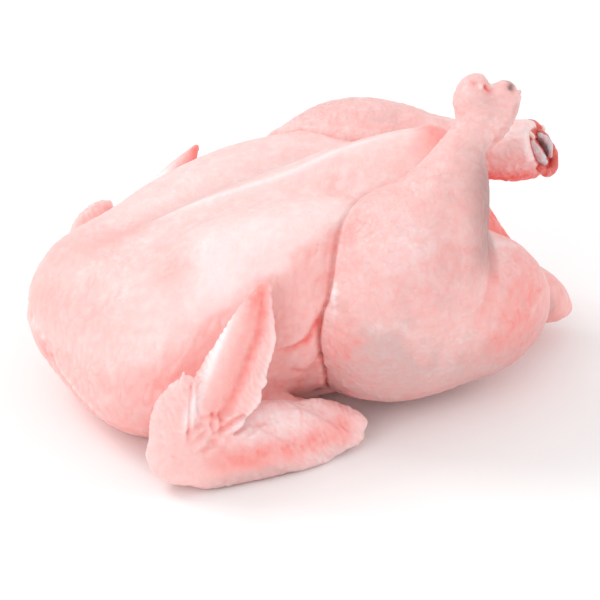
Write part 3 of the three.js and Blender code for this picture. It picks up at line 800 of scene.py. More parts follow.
def body_relief(points, normals, share, depth):
    """Height of the body's skin over the plain form, and how flushed, grey and dark it is."""
    x, y, z = points.T
    leg, crease = share["leg"], share["crease"]
    bare = 1 - leg
    fore = smooth_step(-80, -125, x) * bare
    slack = np.clip(share["ribs"] + fore * 0.4, 0, 1)
    mirrored = np.stack([x, np.abs(y) + 300 * (y < 0), z], 1)
    pleats = strokes(mirrored, (0.4, -0.5, 0.75), 3.4, 2.6, 51)
    net = creases(points, 3.4, 61)
    lobe = leg * smooth_step(78, 90, x) * smooth_step(98, 88, z)

    d = BODY_DEPTH
    height = d["swell"] * noise(points, 34, 1) + d["wave"] * noise(points, 15, 2)
    height += creases(points, 8, 3) * d["slack"] * slack
    pleated = d["slack_pleats"] * slack + d["neck_pleats"] * fore
    height += pleats * (pleated + d["breast_pleats"] * bare * smooth_step(3, 14, np.abs(y)))
    height += net * (d["net"] + d["leg_net"] * leg)
    grain = np.maximum(noise(points, 3.2, 45), 0)
    height += grain * leg * np.where(y > 0, d["far_grain"], d["near_grain"])
    height += lobe * d["lobe"] * strokes(mirrored, (0.25, -0.3, -0.9), 3, 4, 53)
    height -= crease * (d["crease"] + d["low_crease"] * smooth_step(125, 85, z))
    for shank in (RAISED_LEG, LOWERED_LEG):
        height += hock_relief(points, shank) * leg

    # Redder in the valleys of the pleats and of the net of creases: painted shade.
    flush = 0.1 * slack * smooth_step(0.1, -0.45, pleats) + 0.1 * leg * smooth_step(0, -0.4, net)
    bent = wobbled(points, 8)
    mottles = noise(bent, 10, 15) + 0.6 * noise(bent, 5, 16) + 0.3 * noise(points, 2.4, 17)
    cool = 0.3 * leg * smooth_step(-0.2, 1.2, mottles)
    flush += leg * (0.07 * noise(bent, 4.5, 18) + 0.06 * noise(bent, 9, 19))
    flush += bare * (0.06 * noise(bent, 6, 20) + 0.05 * noise(bent, 3, 22))
    dark = np.zeros(len(points))
    add_folds(height, flush, cool, points, normals, BODY_FOLDS)
    add_lumps(height, flush, points, BODY_LUMPS)
    add_lumps(height, dark, points, DARK_SPOTS)
    return height * depth, flush, cool, dark


def wing_relief(points, normals, wing, depth):
    """Height of a wing's skin over the plain form, and how flushed, pale and grey it is."""
    run, across = blade_axes(wing)
    v = points - np.array(wing["wrist"], float)
    s, out, lift = v @ run, v @ across, v[:, 2]  # along the hand, across it, and up
    arm = np.array(wing["elbow"], float) - wing["wrist"]
    length = np.linalg.norm(arm)
    u = v @ (arm / length)  # along the forearm from the wrist
    valley, edge = np.interp(s, *WEB_ROOT), np.interp(s, *WEB_EDGE)

    # Where each part of the wing is
    on_web = smooth_step(valley, valley + 3, out) * smooth_step(16, 30, s)
    on_hand = smooth_step(4, -2, out) * smooth_step(14, 26, s)
    on_thumb = smooth_step(-2, -10, out) * smooth_step(12, 22, lift)
    on_arm = smooth_step(2, 18, u) * smooth_step(length + 8, length - 6, u)
    on_arm *= smooth_step(30, 14, lift)
    on_wrist = np.exp(-(np.linalg.norm(v - (12, 0, 14), axis=1) / 22) ** 2)
    trough = np.exp(-((out - valley) / 2.3) ** 2) * smooth_step(14, 32, s) * smooth_step(96, 84, s)

    # What lies on each of them
    quills = waves(s + out * 0.6 + 3 * noise(points, 7, 31), 3.4)
    scallops = smooth_step(edge - 6, edge - 1, out) * noise(np.stack([s, s * 0, s * 0], 1), 4.2, 37)
    on_bone = waves(s - out * 0.4 + 2.5 * noise(points, 8, 38), 3.3)
    up_thumb = waves(v[:, 0] * 0.9 + lift * 0.35 + 1.5 * noise(points, 7, 39), 3.4)
    slant = waves(u + lift * 0.8 + 3.4 * noise(points, 11, 33), 3.8)
    slant *= smooth_step(-0.7, 0.4, noise(points, 9, 34))
    drawn = strokes(points, (-0.5, 0, 0.85), 2.5, 2.2, 54)

    d = WING_DEPTH
    height = d["quills"] * on_web * quills * smooth_step(-0.6, 0.5, noise(points, 7, 32))
    height += d["scallops"] * scallops - d["trough"] * trough
    height += d["hand"] * on_hand * on_bone + d["thumb"] * on_thumb * up_thumb
    grain = np.maximum(noise(points, 2.8, 58), 0)
    height += on_arm * (d["slant"] * slant + d["drawn"] * drawn)
    height += on_arm * (d["lumps"] * noise(points, 5.5, 57) + d["grain"] * grain)
    height += creases(points, 6, 35) * (d["crinkle"] + d["wrist_crinkle"] * on_wrist)
    height += d["swell"] * noise(points, 13, 36) + d["wrist"] * on_wrist * noise(points, 4.4, 55)
    height += d["fine"] * creases(points, 3, 40)

    band = on_arm * np.exp(-((lift + 1) / 6) ** 2)
    # The side of the hand's ridge that falls to the trough, painted redder as shade.
    ridge = np.exp(-((out - valley + 5) / 4.4) ** 2) * smooth_step(10, 30, s)
    # Along the hand's bone, painted paler as a highlight.
    highlight_strip = np.exp(-((out + 0.12 * s) / 2.6) ** 2) * smooth_step(10, 20, s) * smooth_step(94, 60, s)
    # The red in the trough and on the ridge's side beside it is painted shade.
    flush = 0.5 * trough + 0.5 * ridge + 0.75 * band + 0.4 * smooth_step(68, 88, s)
    # Redder between the quill ridges and in the drawn creases: painted shade.
    flush += 0.12 * on_web * smooth_step(0.2, -0.8, quills)
    flush += 0.04 * on_arm * smooth_step(0.1, -0.45, drawn)
    flush += 0.12 * on_arm * (noise(points, 8, 59) + noise(points, 3.6, 60))
    flush += 0.12 * smooth_step(length - 34, length, u) * (lift < 30) - 0.3 * highlight_strip
    # The top of the forearm, painted paler as lit.
    lit_top_of_arm = smooth_step(1, 9, lift) * smooth_step(20, 34, u)
    lit_top_of_arm *= smooth_step(length - 4, length - 26, u)
    pale = 0.5 * smooth_step(edge - 3, edge - 0.5, out) * smooth_step(12, 24, s)
    pale += 0.95 * highlight_strip + 0.36 * on_arm * lit_top_of_arm
    # Greyer on the forearm's lower side: painted shade.
    cool = 0.8 * on_arm * smooth_step(-3, -10, lift)
    outward = np.array((1, wing["side"], 1))
    add_lumps(height, flush, v * outward, WRIST_LUMPS)
    add_folds(height, flush, cool, v * outward, normals * outward, HAND_FOLDS)
    return height * depth, flush, pale, cool


def cavity(points, faces, normals):
    """How far each point lies below its neighbours, blurred: over zero in a valley."""
    deep = ((neighbour_mean(points, faces) - points) * normals).sum(1)[:, None]
    for _ in range(2):
        deep = neighbour_mean(deep, faces)
    return deep[:, 0]


# ---------------------------------------------------------------- materials


def linear(colour):
    """A screen colour of 0 to 255 as the linear colour of a shader."""
    c = np.array(colour, float) / 255
    return (*np.where(c <= 0.04045, c / 12.92, ((c + 0.055) / 1.055) ** 2.4), 1.0)


BLOTCHES = 38.0  # noise scales of the mottling at size 1, in a metre
SPECKS = 190.0


class Nodes:
    """Adds and joins nodes of one tree."""

    def __init__(self, tree):
        self.tree = tree

    def add(self, kind, **settings):
        node = self.tree.nodes.new(kind)
        for name, value in settings.items():
            setattr(node, name, value)
        return node

    def put(self, value, socket):
        if isinstance(value, bpy.types.NodeSocket):
            self.tree.links.new(value, socket)
        else:
            socket.default_value = value

    def math(self, operation, a, b=0.0, clamp=False):
        node = self.add("ShaderNodeMath", operation=operation, use_clamp=clamp)
        self.put(a, node.inputs[0])
        self.put(b, node.inputs[1])
        return node.outputs[0]

    def ramp(self, value, low, high, to_low=0.0, to_high=1.0):
        node = self.add("ShaderNodeMapRange", interpolation_type="SMOOTHSTEP")
        for socket, item in zip(node.inputs, (value, low, high, to_low, to_high)):
            self.put(item, socket)
        return node.outputs[0]

    def blend(self, share, a, b):
        node = self.add("ShaderNodeMix", data_type="RGBA")
        self.put(share, node.inputs["Factor"])
        self.put(a, node.inputs[6])
        self.put(b, node.inputs[7])
        return node.outputs[2]

    def noise(self, where, scale, detail, **settings):
        node = self.add("ShaderNodeTexNoise")
        self.put(where, node.inputs["Vector"])
        self.put(scale, node.inputs["Scale"])
        node.inputs["Detail"].default_value = detail
        for name, value in settings.items():
            node.inputs[name].default_value = value
        return node.outputs["Fac"]

    def attribute(self, name):
        return self.add("ShaderNodeAttribute", attribute_name=name).outputs["Fac"]


def new_group(name, inputs, outputs):
    """An empty node group with the named float sockets; a default stands beside each input."""
    tree = bpy.data.node_groups.new(name, "ShaderNodeTree")
    for label, kind, default in inputs:
        socket = tree.interface.new_socket(name=label, in_out="INPUT", socket_type=kind)
        if default is not None:
            socket.default_value = default
    for label in outputs:
        tree.interface.new_socket(name=label, in_out="OUTPUT", socket_type="NodeSocketFloat")
    n = Nodes(tree)
    return n, n.add("NodeGroupInput").outputs, n.add("NodeGroupOutput").inputs


def mottle_group():
    """Blotches of blood under a surface, in two sizes: a mask from 0 to 1."""
    inputs = (("Vector", "NodeSocketVector", None), ("Size", "NodeSocketFloat", 1.0))
    n, given, out = new_group("Mottling", inputs, ("Blotches", "Specks"))
    broad = n.noise(given["Vector"], n.math("DIVIDE", BLOTCHES, given["Size"]), 4.0, Distortion=0.6)
    small = n.noise(given["Vector"], n.math("DIVIDE", SPECKS, given["Size"]), 3.0)
    n.put(n.ramp(broad, 0.38, 0.66), out["Blotches"])
    n.put(n.ramp(small, 0.42, 0.68), out["Specks"])
    return n.tree


def pore_group():
    """The raised pits that the feathers leave: height and a mask of their middles."""
    inputs = (("Vector", "NodeSocketVector", None), ("Spacing", "NodeSocketFloat", 0.003))
    n, given, out = new_group("Feather pits", inputs, ("Height", "Middle"))
    cells = n.add("ShaderNodeTexVoronoi", feature="SMOOTH_F1")
    n.put(given["Vector"], cells.inputs["Vector"])
    n.put(n.math("DIVIDE", 1.0, given["Spacing"]), cells.inputs["Scale"])
    cells.inputs["Smoothness"].default_value = 0.25
    cells.inputs["Randomness"].default_value = 0.75
    n.put(n.ramp(cells.outputs["Distance"], 0.1, 0.55, 1.0, 0.0), out["Height"])
    n.put(n.ramp(cells.outputs["Distance"], 0.05, 0.24, 1.0, 0.0), out["Middle"])
    return n.tree


def crepe_group():
    """Fine wrinkles drawn out in one direction: height, and a mask of their valleys."""
    inputs = (("Vector", "NodeSocketVector", None), ("Spacing", "NodeSocketFloat", 0.002))
    n, given, out = new_group("Crepe", inputs, ("Height", "Valley"))
    turned = n.add("ShaderNodeVectorRotate", rotation_type="EULER_XYZ")
    n.put(given["Vector"], turned.inputs["Vector"])
    turned.inputs["Rotation"].default_value = (0.55, 0.5, 0)
    drawn = n.add("ShaderNodeVectorMath", operation="MULTIPLY")
    n.put(turned.outputs["Vector"], drawn.inputs[0])
    drawn.inputs[1].default_value = (1, 1, 0.4)
    lines = n.add("ShaderNodeTexNoise", noise_type="RIDGED_MULTIFRACTAL")
    n.put(drawn.outputs["Vector"], lines.inputs["Vector"])
    n.put(n.math("DIVIDE", 0.6, given["Spacing"]), lines.inputs["Scale"])
    lines.inputs["Detail"].default_value = 2.0
    lines.inputs["Distortion"].default_value = 0.5
    n.put(n.math("MULTIPLY", lines.outputs["Fac"], -0.5), out["Height"])
    n.put(n.ramp(lines.outputs["Fac"], 0.7, 1.6), out["Valley"])
    return n.tree


def use_group(n, tree, **values):
    node = n.add("ShaderNodeGroup")
    node.node_tree = tree
    for name, value in values.items():
        n.put(value, node.inputs[name])
    return node.outputs


def new_material(name):
    """A material with its node helper, its shader and the places that its textures use."""
    material = bpy.data.materials.new(name)
    material.use_nodes = True
    n = Nodes(material.node_tree)
    shader = material.node_tree.nodes["Principled BSDF"]
    return material, n, shader, n.add("ShaderNodeTexCoord").outputs["Object"]


def make_fleshy(n, shader, height, weight, radius, depth):
    """Lets light into a material to a depth, and gives it a bump, both in metres."""
    shader.inputs["Subsurface Weight"].default_value = weight
    shader.inputs["Subsurface Radius"].default_value = radius
    shader.inputs["Subsurface Scale"].default_value = depth
    bump = n.add("ShaderNodeBump")
    bump.inputs["Distance"].default_value = 1.0
    n.put(height, bump.inputs["Height"])
    n.put(bump.outputs["Normal"], shader.inputs["Normal"])


def skin_material(colours, pit_spacing, groups):
    """Skin that reads its masks from the mesh, with blotches, feather pits and fine wrinkles."""
    material, n, shader, where = new_material("chicken_skin")
    mottle = use_group(n, groups["mottle"], Vector=where, Size=1.0)
    pits = use_group(n, groups["pore"], Vector=where, Spacing=pit_spacing)
    crepe = use_group(n, groups["crepe"], Vector=where, Spacing=0.0021)
    flush, pale, cool, goose, raw, dark = (n.attribute(name) for name in ATTRIBUTES)
    between_pits = n.math("MULTIPLY", n.math("SUBTRACT", 1.0, pits["Height"]), goose)
    in_pits = n.math("MULTIPLY", pits["Middle"], goose)
    uneven = n.math("ADD", n.math("MULTIPLY", mottle["Specks"], 0.3), 0.85)
    colour = linear(colours.skin)
    for mask, share, tint in (  # each layer of colour lies over those before it
        (mottle["Blotches"], 0.22, colours.rosy), (mottle["Specks"], 0.28, colours.pale),
        # The rosy valleys of the fine wrinkles are painted shade.
        (crepe["Valley"], 0.4, colours.rosy), (between_pits, 0.3, colours.rosy),
        # The cool, pale, flush and dark masks carry painted shade and painted highlights as well as
        # the skin's own colours.
        (cool, 0.85, colours.cool), (pale, 1.0, colours.pale), (in_pits, 0.14, colours.pale),
        (flush, uneven, colours.flush), (raw, 1.0, colours.raw), (dark, 1.0, colours.dark),
    ):
        colour = n.blend(n.math("MULTIPLY", mask, share, clamp=True), colour, linear(tint))
    n.put(colour, shader.inputs["Base Color"])
    n.put(n.ramp(n.noise(where, 60.0, 4.0), 0.3, 0.7, 0.36, 0.52), shader.inputs["Roughness"])
    height = n.math("MULTIPLY", n.math("MULTIPLY", pits["Height"], goose), 0.00022)
    for layer, rise in (  # in metres
        (n.noise(where, 900.0, 3.0), 0.00012), (crepe["Height"], 0.0003),
        (n.noise(where, 260.0, 4.0), 0.0004),
    ):
        height = n.math("ADD", height, n.math("MULTIPLY", layer, rise))
    make_fleshy(n, shader, height, weight=0.3, radius=(1.0, 0.45, 0.35), depth=0.003)
    return material


def wet_material(name, colour, deep, roughness, groups):
    """A wet cut surface: flesh, cartilage or marrow."""
    material, n, shader, where = new_material(name)
    mottle = use_group(n, groups["mottle"], Vector=where, Size=0.25)
    n.put(n.blend(mottle["Blotches"], linear(colour), linear(deep)), shader.inputs["Base Color"])
    uneven = n.ramp(mottle["Specks"], 0.0, 1.0, roughness, roughness + 0.12)
    n.put(uneven, shader.inputs["Roughness"])
    height = n.math("MULTIPLY", n.noise(where, 700.0, 3.0), 0.0002)
    make_fleshy(n, shader, height, weight=0.2, radius=(1.0, 0.4, 0.3), depth=0.001)
    return material


def floor_material():
    """Matt white, a shade uneven."""
    material, n, shader, where = new_material("studio_floor")
    shade = n.blend(n.noise(where, 3.0, 2.0), linear((253, 253, 253)), linear((255, 255, 255)))
    n.put(shade, shader.inputs["Base Color"])
    n.put(n.ramp(n.noise(where, 40.0, 2.0), 0.3, 0.7, 0.6, 0.7), shader.inputs["Roughness"])
    shader.inputs["Specular IOR Level"].default_value = 0.2
    return material


# ---------------------------------------------------------------- making objects

ATTRIBUTES = ("flush", "pale", "cool", "goose", "raw", "dark")


def new_mesh_object(name, points, faces, material, attributes=None):
    """A smooth mesh in the scene, with its masks as attributes of its points."""
    mesh = bpy.data.meshes.new(name)
    mesh.from_pydata(points.tolist(), [], faces.tolist())
    for label, values in (attributes or {}).items():
        layer = mesh.attributes.new(label, "FLOAT", "POINT")
        layer.data.foreach_set("value", np.clip(values, 0, 1).astype(np.float32))
    mesh.shade_smooth()
    mesh.materials.append(material)
    made = bpy.data.objects.new(name, mesh)
    bpy.context.scene.collection.objects.link(made)
    return made


# Soft patches of colour: x, y, z, the three radii, and how red, dark, grey and pale the skin is
PATCHES = (
    ((-94, 1, 87), (20, 10, 12), 0.22, 0, 0.1, 0), ((-77, 8, 93), (18, 9, 12), 0.14, 0, 0.12, 0),
    ((-74, -44, 93), (18, 16, 14), 0.26, 0, 0, 0), ((-47, -47, 103), (14, 12, 12), 0.12, 0, 0, 0),
    # This patch and the next, at (11, -62, 111), are painted shade, redder and greyer, on the body
    # beside the near leg's crease.
    ((-4, -60, 106), (12, 10, 14), 0.22, 0, 0.1, 0),
    ((11, -62, 111), (9, 10, 12), 0.22, 0.05, 0.3, 0), ((68, -5, 127), (11, 8, 12), 0.15, 0, 0, 0),
    # Painted shade on the drumstick's side towards the tail.
    ((50, -90, 102), (16, 18, 22), 0.22, 0.07, 0.16, 0),
    ((33, -94, 93), (16, 16, 14), 0.12, 0.0, 0.1, 0), ((96, -54, 84), (9, 14, 9), 0, 0, 0, 0.4),
    # The pale patch at (-50, -76, 82) is partly a painted highlight on the breast.
    ((1, -88, 60), (9, 14, 16), 0.3, 0.04, 0, 0), ((-50, -76, 82), (14, 18, 9), -0.42, 0, 0, 0.14),
    ((-80, -38, 90), (24, 20, 14), 0.16, 0, 0, 0), ((73, 1, 126), (11, 14, 14), 0.6, 0, 0, 0),
    ((-142, -8, 60), (12, 22, 14), 0.16, 0, 0, 0), ((-138, -20, 36), (5, 5, 5), 0.3, 0, 0, 0),
    # A painted shadow, grey, where the wing lies against the body.
    ((-100, -78, 28), (20, 20, 16), 0, 0, 0.5, 0),
)
LEG_PATCHES = (
    # The patch at (80, -64, 108) is painted shade, redder, on the drumstick's side towards the
    # tail.
    ((80, -64, 108), (15, 18, 26), 0.12, 0, 0, 0), ((98, -62, 62), (16, 16, 20), 0.24, 0, 0, 0),
    # The patch at (88, -78, 50) is painted shade on the thigh's end towards the tail, and the pale
    # one at (38, -85, 104) is a painted highlight on the thigh.
    ((88, -78, 50), (12, 14, 16), 0.3, 0, 0, 0), ((38, -85, 104), (15, 16, 15), 0, 0, 0, 0.85),
)
# Paler breast skin above the ribs, partly a painted highlight.
BREAST_PATCHES = (((-52, -64, 86), (34, 26, 17), 0, 0, 0, 0.45),)


def add_patches(red, dark, grey, white, points, patches, on):
    """Adds patches to the four masks, on a part of the skin alone."""
    for at, radii, *amounts in patches:
        patch = on * bell(points, at, radii)
        for mask, amount in zip((red, dark, grey, white), amounts):
            mask += amount * patch


def body_masks(points, faces, normals, share, flush, cool, dark):
    """The colour masks of the body's skin, from its own shape and place, with painted shade and
    painted highlights among them.
    """
    x, y, z = points.T
    leg, ribs, shade = share["leg"], share["ribs"], share["shade"]
    deep = cavity(points, faces, normals)
    near = y < 0
    # The line where a leg meets the body, painted darker as shade.
    thin = share["crease"] ** 2 * np.where(near, 1, 0.4)
    # The drumstick's side towards the tail, painted darker and greyer as shade.
    shade_on_back_of_shank = leg * (y < -40) * smooth_step(91, 85, x) * smooth_step(61, 84, x)
    shade_on_back_of_shank *= smooth_step(76, 96, z) * smooth_step(146, 124, z)

    # Redder in the skin's valleys and on faces that look down: painted shade.
    red = flush + 0.13 * smooth_step(0.01, 0.09, deep)
    red += 0.14 * smooth_step(0.1, -0.9, normals[:, 2])
    # Redder along the leg's crease and on the body in its shade: painted shade.
    red += thin * (0.1 + 0.5 * smooth_step(112, 60, z)) + 0.08 * shade * near
    red += 0.7 * share["vent"] + 0.02 * share["tail"]
    red += 0.27 * ribs * (1 - 0.5 * smooth_step(-92, -125, x))
    red += smooth_step(-90, -122, x) * (0.08 + 0.12 * smooth_step(42, 70, z))
    red += 0.13 * leg * np.where(~near & (x > 90), 0.3, 1)
    red += 0.17 * leg * smooth_step(84, 104, x) * smooth_step(96, 86, z)
    hidden_shank = leg * ~near * smooth_step(100, 86, z) * smooth_step(60, 82, z)
    red += 0.65 * hidden_shank * smooth_step(88, 104, x)

    # Darker along the leg's crease and on the drumstick's side towards the tail: painted shade.
    dark = dark + thin * (0.24 + 0.44 * smooth_step(100, 60, z)) + 0.5 * shade_on_back_of_shank

    # Paler on the skin's ridges, a painted highlight; the pale of the folds and lumps adds pale fat
    # and more painted highlights.
    white = 0.2 * smooth_step(-0.01, -0.08, deep) + np.maximum(-flush, 0)
    # Paler on the leg's side of the crease: painted highlight.
    white += 0.25 * share["brink_highlight"] * near * smooth_step(60, 75, z)
    breast = (1 - ribs) * (1 - leg) * smooth_step(8, 22, np.abs(y))
    # A slightly paler breast, partly a painted highlight.
    white += 0.06 * breast * smooth_step(-100, -70, x)
    # Paler on top of the lowered leg's shank near the hock: painted light.
    white += 0.35 * leg * ~near * smooth_step(100, 110, x) * smooth_step(90, 100, z)

    # Greyer on the body beside the crease and on the drumstick's side towards the tail: painted
    # shade.
    grey = cool + 0.26 * shade * smooth_step(70, 105, z) * near + 0.18 * leg + 0.4 * shade_on_back_of_shank
    # Greyer low on the legs, towards the table: painted shade.
    grey += 0.75 * leg * smooth_step(62, 26, z)
    blur = wobbled(points, 12)
    grey += 0.95 * bell(blur, (20, -92, 48), (19, 22, 23), power=3)
    grey += 0.85 * bell(blur, (-12, -73, 36), (13, 14, 16))

    for patches, on in ((PATCHES, 1), (LEG_PATCHES, leg), (BREAST_PATCHES, 1 - ribs)):
        add_patches(red, dark, grey, white, points, patches, on)

    hock_at = np.array(LOWERED_LEG["hock"], float)
    run, hinge, across = ((points - hock_at) @ hock_axes(LOWERED_LEG).T).T
    out = run + CUT_LEAN[1] * hinge + CUT_LEAN[2] * across
    rim = (hinge / CUT["dish"][2]) ** 2 + (across / CUT["dish"][1]) ** 2
    raw = smooth_step(8.5, 9.5, out) * smooth_step(1.25, 0.95, rim) * (out < 20)
    return dict(flush=red, pale=white, cool=grey, goose=0.15 + 0.6 * leg, raw=raw, dark=dark)


def wing_masks(points, faces, normals, flush, pale, cool):
    """The colour masks of a wing's skin."""
    deep = cavity(points, faces, normals)
    # Redder in the skin's valleys and paler on its ridges: painted shade and painted highlight.
    red = 0.13 + 0.14 * smooth_step(0.01, 0.08, deep) + 0.6 * flush
    white = 0.22 * smooth_step(-0.01, -0.07, deep) + pale
    nothing = np.zeros(len(points))
    return dict(flush=red, pale=white, cool=cool, goose=nothing + 0.5, raw=nothing, dark=nothing)


# ---------------------------------------------------------------- settings


def size_property(name, description, default, **extra):
    return bpy.props.FloatProperty(name=name, description=description, default=default, **extra)


def colour_property(name, description, default):
    return bpy.props.FloatVectorProperty(
        name=name, description=description, default=default, size=3, min=0, max=255
    )


class ChickenSizes(bpy.types.PropertyGroup):
    skin_step: size_property(
        "Skin step", "Spacing of the body's points in pattern millimetres", 1.0, min=0.8, max=6
    )
    wing_step: size_property(
        "Wing step", "Spacing of the wings' points in pattern millimetres", 0.8, min=0.5, max=6
    )
    wrinkle_depth: size_property(
        "Wrinkle depth", "Share of the full depth of wrinkles", 1.0, min=0, max=2, subtype="FACTOR"
    )
    pit_spacing: size_property("Pit spacing", "Between feather pits", 0.0026, unit="LENGTH")
    floor_size: size_property("Floor size", "Side of the studio floor", 4.0, unit="LENGTH")


class ChickenColours(bpy.types.PropertyGroup):
    skin: colour_property("Skin", "Plain skin over the breast", (252, 210, 206))
    # Rosy also paints shade in the valleys of the fine wrinkles.
    rosy: colour_property("Rosy skin", "Blotches where blood shows through", (251, 190, 187))
    # Pale also paints highlights: on ridges, on the thigh, along the hand and as glints on the
    # hock.
    pale: colour_property("Pale skin", "Fat and stretched skin, and painted highlights", (255, 238, 238))
    # Flushed also paints shade in creases, valleys and on faces that look down.
    flush: colour_property("Flushed skin", "Folds and thin edges, with painted shade in creases and hollows", (250, 116, 106))
    # Cool also paints shade: in grooves, beside the leg's crease, on the drumstick's side towards
    # the tail, low on the legs and under the forearms.
    cool: colour_property("Cool skin", "Skin over dark meat, and painted shade", (205, 184, 182))
    raw: colour_property("Raw flesh", "Cut flesh", (214, 84, 76))
    # Dark also paints shade in the leg's crease and on the drumstick's side towards the tail.
    dark: colour_property("Dark gristle and painted shade", "Holes, and painted shade in deep creases", (104, 62, 58))
    cartilage: colour_property("Cartilage", "Bare joint", (206, 198, 204))


# ---------------------------------------------------------------- operators


def shared_groups():
    """The shader groups that the materials share, made once."""
    known = bpy.data.node_groups
    return dict(
        mottle=known.get("Mottling") or mottle_group(),
        pore=known.get("Feather pits") or pore_group(),
        crepe=known.get("Crepe") or crepe_group(),
    )


def put_on_bird(name, points, faces, masks, material):
    """Makes a piece from points on the pattern bird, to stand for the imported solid."""
    piece = new_mesh_object(name, (points - MIDDLE) * SCALE, faces, material, masks)
    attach(piece, "root")
    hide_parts("chicken")


def draw_plain(form, low, high, step):
    """The plain surface of a form, which the relief is laid on: points, faces and normals."""
    points, faces = draw_surface(form, low, high, step * (1))
    points = settle(form, relax(points, faces, 2))
    return points, faces, normals_of(points, faces)


def move_out(points, normals, height):
    """The points moved out by their heights, but never below the table."""
    points = points + normals * height[:, None]
    points[:, 2] = np.maximum(points[:, 2], 0)
    return points


def shared_skin(context):
    """The skin's material, made once."""
    colours, sizes = context.scene.chicken_colours, context.scene.chicken_sizes
    known = bpy.data.materials.get("chicken_skin")
    return known or skin_material(colours, sizes.pit_spacing, shared_groups())


class CHICKEN_OT_body(bpy.types.Operator):
    """Draw the skin of the trunk, legs and tail with its folds, wrinkles and colours"""

    bl_idname = "chicken.body"
    bl_label = "Body"

    def execute(self, context):
        sizes = context.scene.chicken_sizes
        points, faces, normals = draw_plain(bird_without_wings, LOW, HIGH, sizes.skin_step)
        share = body_shares(points, faces)
        height, *tints = body_relief(points, normals, share, sizes.wrinkle_depth)
        points = move_out(points, normals, height)
        masks = body_masks(points, faces, normals_of(points, faces), share, *tints)
        put_on_bird("chicken_body", points, faces, masks, shared_skin(context))
        return {"FINISHED"}


class CHICKEN_OT_wings(bpy.types.Operator):
    """Draw both folded wings past the elbow with their quill ridges and wrinkles"""

    bl_idname = "chicken.wings"
    bl_label = "Wings"

    def execute(self, context):
        sizes = context.scene.chicken_sizes
        for name, wing in (("wing_right", RIGHT_WING), ("wing_left", LEFT_WING)):
            corners = np.array([wing[spot] for spot in ("elbow", "wrist", "tip", "thumb")], float)
            low, high = corners.min(0) - WING_ROOM, corners.max(0) + WING_ROOM
            points, faces, normals = draw_plain(
                lambda p: folded_wing(p, wing), low, high, sizes.wing_step
            )
            height, *tints = wing_relief(points, normals, wing, sizes.wrinkle_depth)
            points = move_out(points, normals, height)
            masks = wing_masks(points, faces, normals_of(points, faces), *tints)
            put_on_bird(name, points, faces, masks, shared_skin(context))
        return {"FINISHED"}


def lumpy(p, runs):
    """Rounded limbs that melt into each other, with an uneven surface."""
    limbs = [limb(p, stations, steps=12) for stations in runs]
    return melt_all(limbs[0], *((other, 0.8) for other in limbs[1:])) + 0.35 * noise(p, 2.2, 71)


class CHICKEN_OT_cut_ends(bpy.types.Operator):
    """Set the cartilage, marrow, flesh and tendons in the cut end of the lowered leg"""

    bl_idname = "chicken.cut_ends"
    bl_label = "Cut end"

    def execute(self, context):
        colours = context.scene.chicken_colours
        groups = shared_groups()
        finishes = {  # name of the material, its two colours and its roughness
            "cartilage": ("wet_cartilage", colours.cartilage, (222, 176, 176), 0.22),
            "marrow": ("dark_marrow", (122, 34, 34), (84, 26, 28), 0.3),
            "flesh": ("raw_flesh", colours.raw, (232, 120, 108), 0.26),
            "sinew": ("white_sinew", (246, 226, 216), (238, 196, 186), 0.3),
        }
        for name, finish, limbs in CUT_PIECES:
            runs = [on_hock(LOWERED_LEG, spots) for spots in limbs]
            spots = np.concatenate(runs)[:, :3]
            low, high = spots.min(0) - CUT_ROOM, spots.max(0) + CUT_ROOM
            points, faces = draw_surface(lambda p: lumpy(p, runs), low, high, CUT_STEP)
            material = wet_material(*finishes[finish], groups)
            put_on_bird(name, relax(points, faces, 1), faces, {}, material)
        return {"FINISHED"}


# Camera and lights, in metres and degrees
VIEW_AZIMUTH = -13.0
VIEW_ELEVATION = 28.0
VIEW_DISTANCE = 1300 * SCALE
VIEW_TARGET = (0, 0, 50)  # on the pattern bird
PIXELS_PER_MM = 1.9
IMAGE_SIZE = 600
SENSOR = 36.0
TARGET_RISE = 20  # pixels that the target sits above the picture's middle
LIGHTS = (  # name, place and side in metres, power in watts
    ("key_softbox", (-1.3, 1.0, 1.7), 1.0, 17.0),
    ("front_softbox", (-1.1, -1.2, 0.8), 1.0, 6.0),
    ("fill_softbox", (1.6, -0.3, 0.9), 1.0, 5.0),
)
LIGHT_AIM = (0, 0, 0.05)
SKY_STRENGTH = 0.77


def add_camera():
    a, e = np.radians((VIEW_AZIMUTH, VIEW_ELEVATION))
    back = Vector((np.sin(a) * np.cos(e), -np.cos(a) * np.cos(e), np.sin(e)))
    focus = PIXELS_PER_MM * VIEW_DISTANCE / SCALE
    data = bpy.data.cameras.new("camera")
    data.sensor_width = SENSOR
    data.lens = focus * SENSOR / IMAGE_SIZE
    data.shift_y = -TARGET_RISE / IMAGE_SIZE
    data.clip_start = 0.05
    data.clip_end = 20
    camera = bpy.data.objects.new("camera", data)
    target = (Vector(VIEW_TARGET) - Vector(MIDDLE)) * SCALE
    camera.location = target + back * VIEW_DISTANCE
    camera.rotation_euler = (-back).to_track_quat("-Z", "Y").to_euler()
    bpy.context.scene.collection.objects.link(camera)
    bpy.context.scene.camera = camera


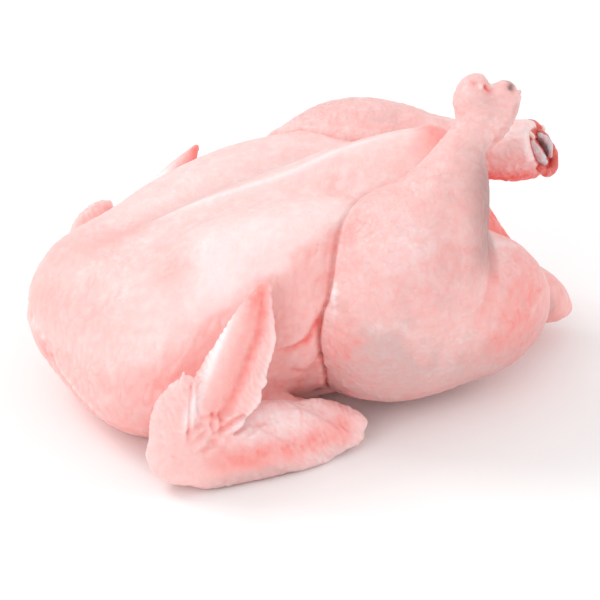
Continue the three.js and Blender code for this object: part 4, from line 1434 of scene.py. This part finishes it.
def add_light(name, at, size, power):
    data = bpy.data.lights.new(name, "AREA")
    data.shape = "SQUARE"
    data.size = size
    data.energy = power
    light = bpy.data.objects.new(name, data)
    light.location = at
    light.rotation_euler = (Vector(LIGHT_AIM) - Vector(at)).to_track_quat("-Z", "Y").to_euler()
    bpy.context.scene.collection.objects.link(light)


class CHICKEN_OT_stage(bpy.types.Operator):
    """Lay the studio floor, hang the soft lights and set up the camera"""

    bl_idname = "chicken.stage"
    bl_label = "Stage"

    def execute(self, context):
        half = context.scene.chicken_sizes.floor_size / 2
        points = np.array([(-half, -half, 0), (half, -half, 0), (half, half, 0), (-half, half, 0)])
        floor = new_mesh_object("studio_floor", points, np.array([[0, 1, 2, 3]]), floor_material())
        world = bpy.data.worlds.new("studio")
        world.use_nodes = True
        sky = world.node_tree.nodes["Background"].inputs
        sky["Color"].default_value = (1, 1, 1, 1)
        sky["Strength"].default_value = SKY_STRENGTH
        context.scene.world = world
        for light in LIGHTS:
            add_light(*light)
        context.scene.view_settings.view_transform = "Standard"
        add_camera()
        return {"FINISHED"}


class CHICKEN_PT_panel(bpy.types.Panel):
    """Everything that makes up the bird and its stage"""

    bl_idname = "CHICKEN_PT_panel"
    bl_label = "Whole raw chicken"
    bl_space_type = "VIEW_3D"
    bl_region_type = "UI"
    bl_category = "Chicken"

    def draw(self, context):
        layout = self.layout
        for group in (context.scene.chicken_sizes, context.scene.chicken_colours):
            for name in group.__annotations__:
                layout.prop(group, name)
        for operator in OPERATORS:
            layout.operator(operator.bl_idname)


OPERATORS = (CHICKEN_OT_body, CHICKEN_OT_wings, CHICKEN_OT_cut_ends, CHICKEN_OT_stage)
CLASSES = (ChickenSizes, ChickenColours, *OPERATORS, CHICKEN_PT_panel)


def register():
    for item in CLASSES:
        bpy.utils.register_class(item)
    bpy.types.Scene.chicken_sizes = bpy.props.PointerProperty(type=ChickenSizes)
    bpy.types.Scene.chicken_colours = bpy.props.PointerProperty(type=ChickenColours)


def unregister():
    del bpy.types.Scene.chicken_colours
    del bpy.types.Scene.chicken_sizes
    for item in reversed(CLASSES):
        bpy.utils.unregister_class(item)


def main():
    register()
    bpy.ops.chicken.body()
    bpy.ops.chicken.wings()
    bpy.ops.chicken.cut_ends()
    bpy.ops.chicken.stage()


if __name__ == "__main__":
    main()
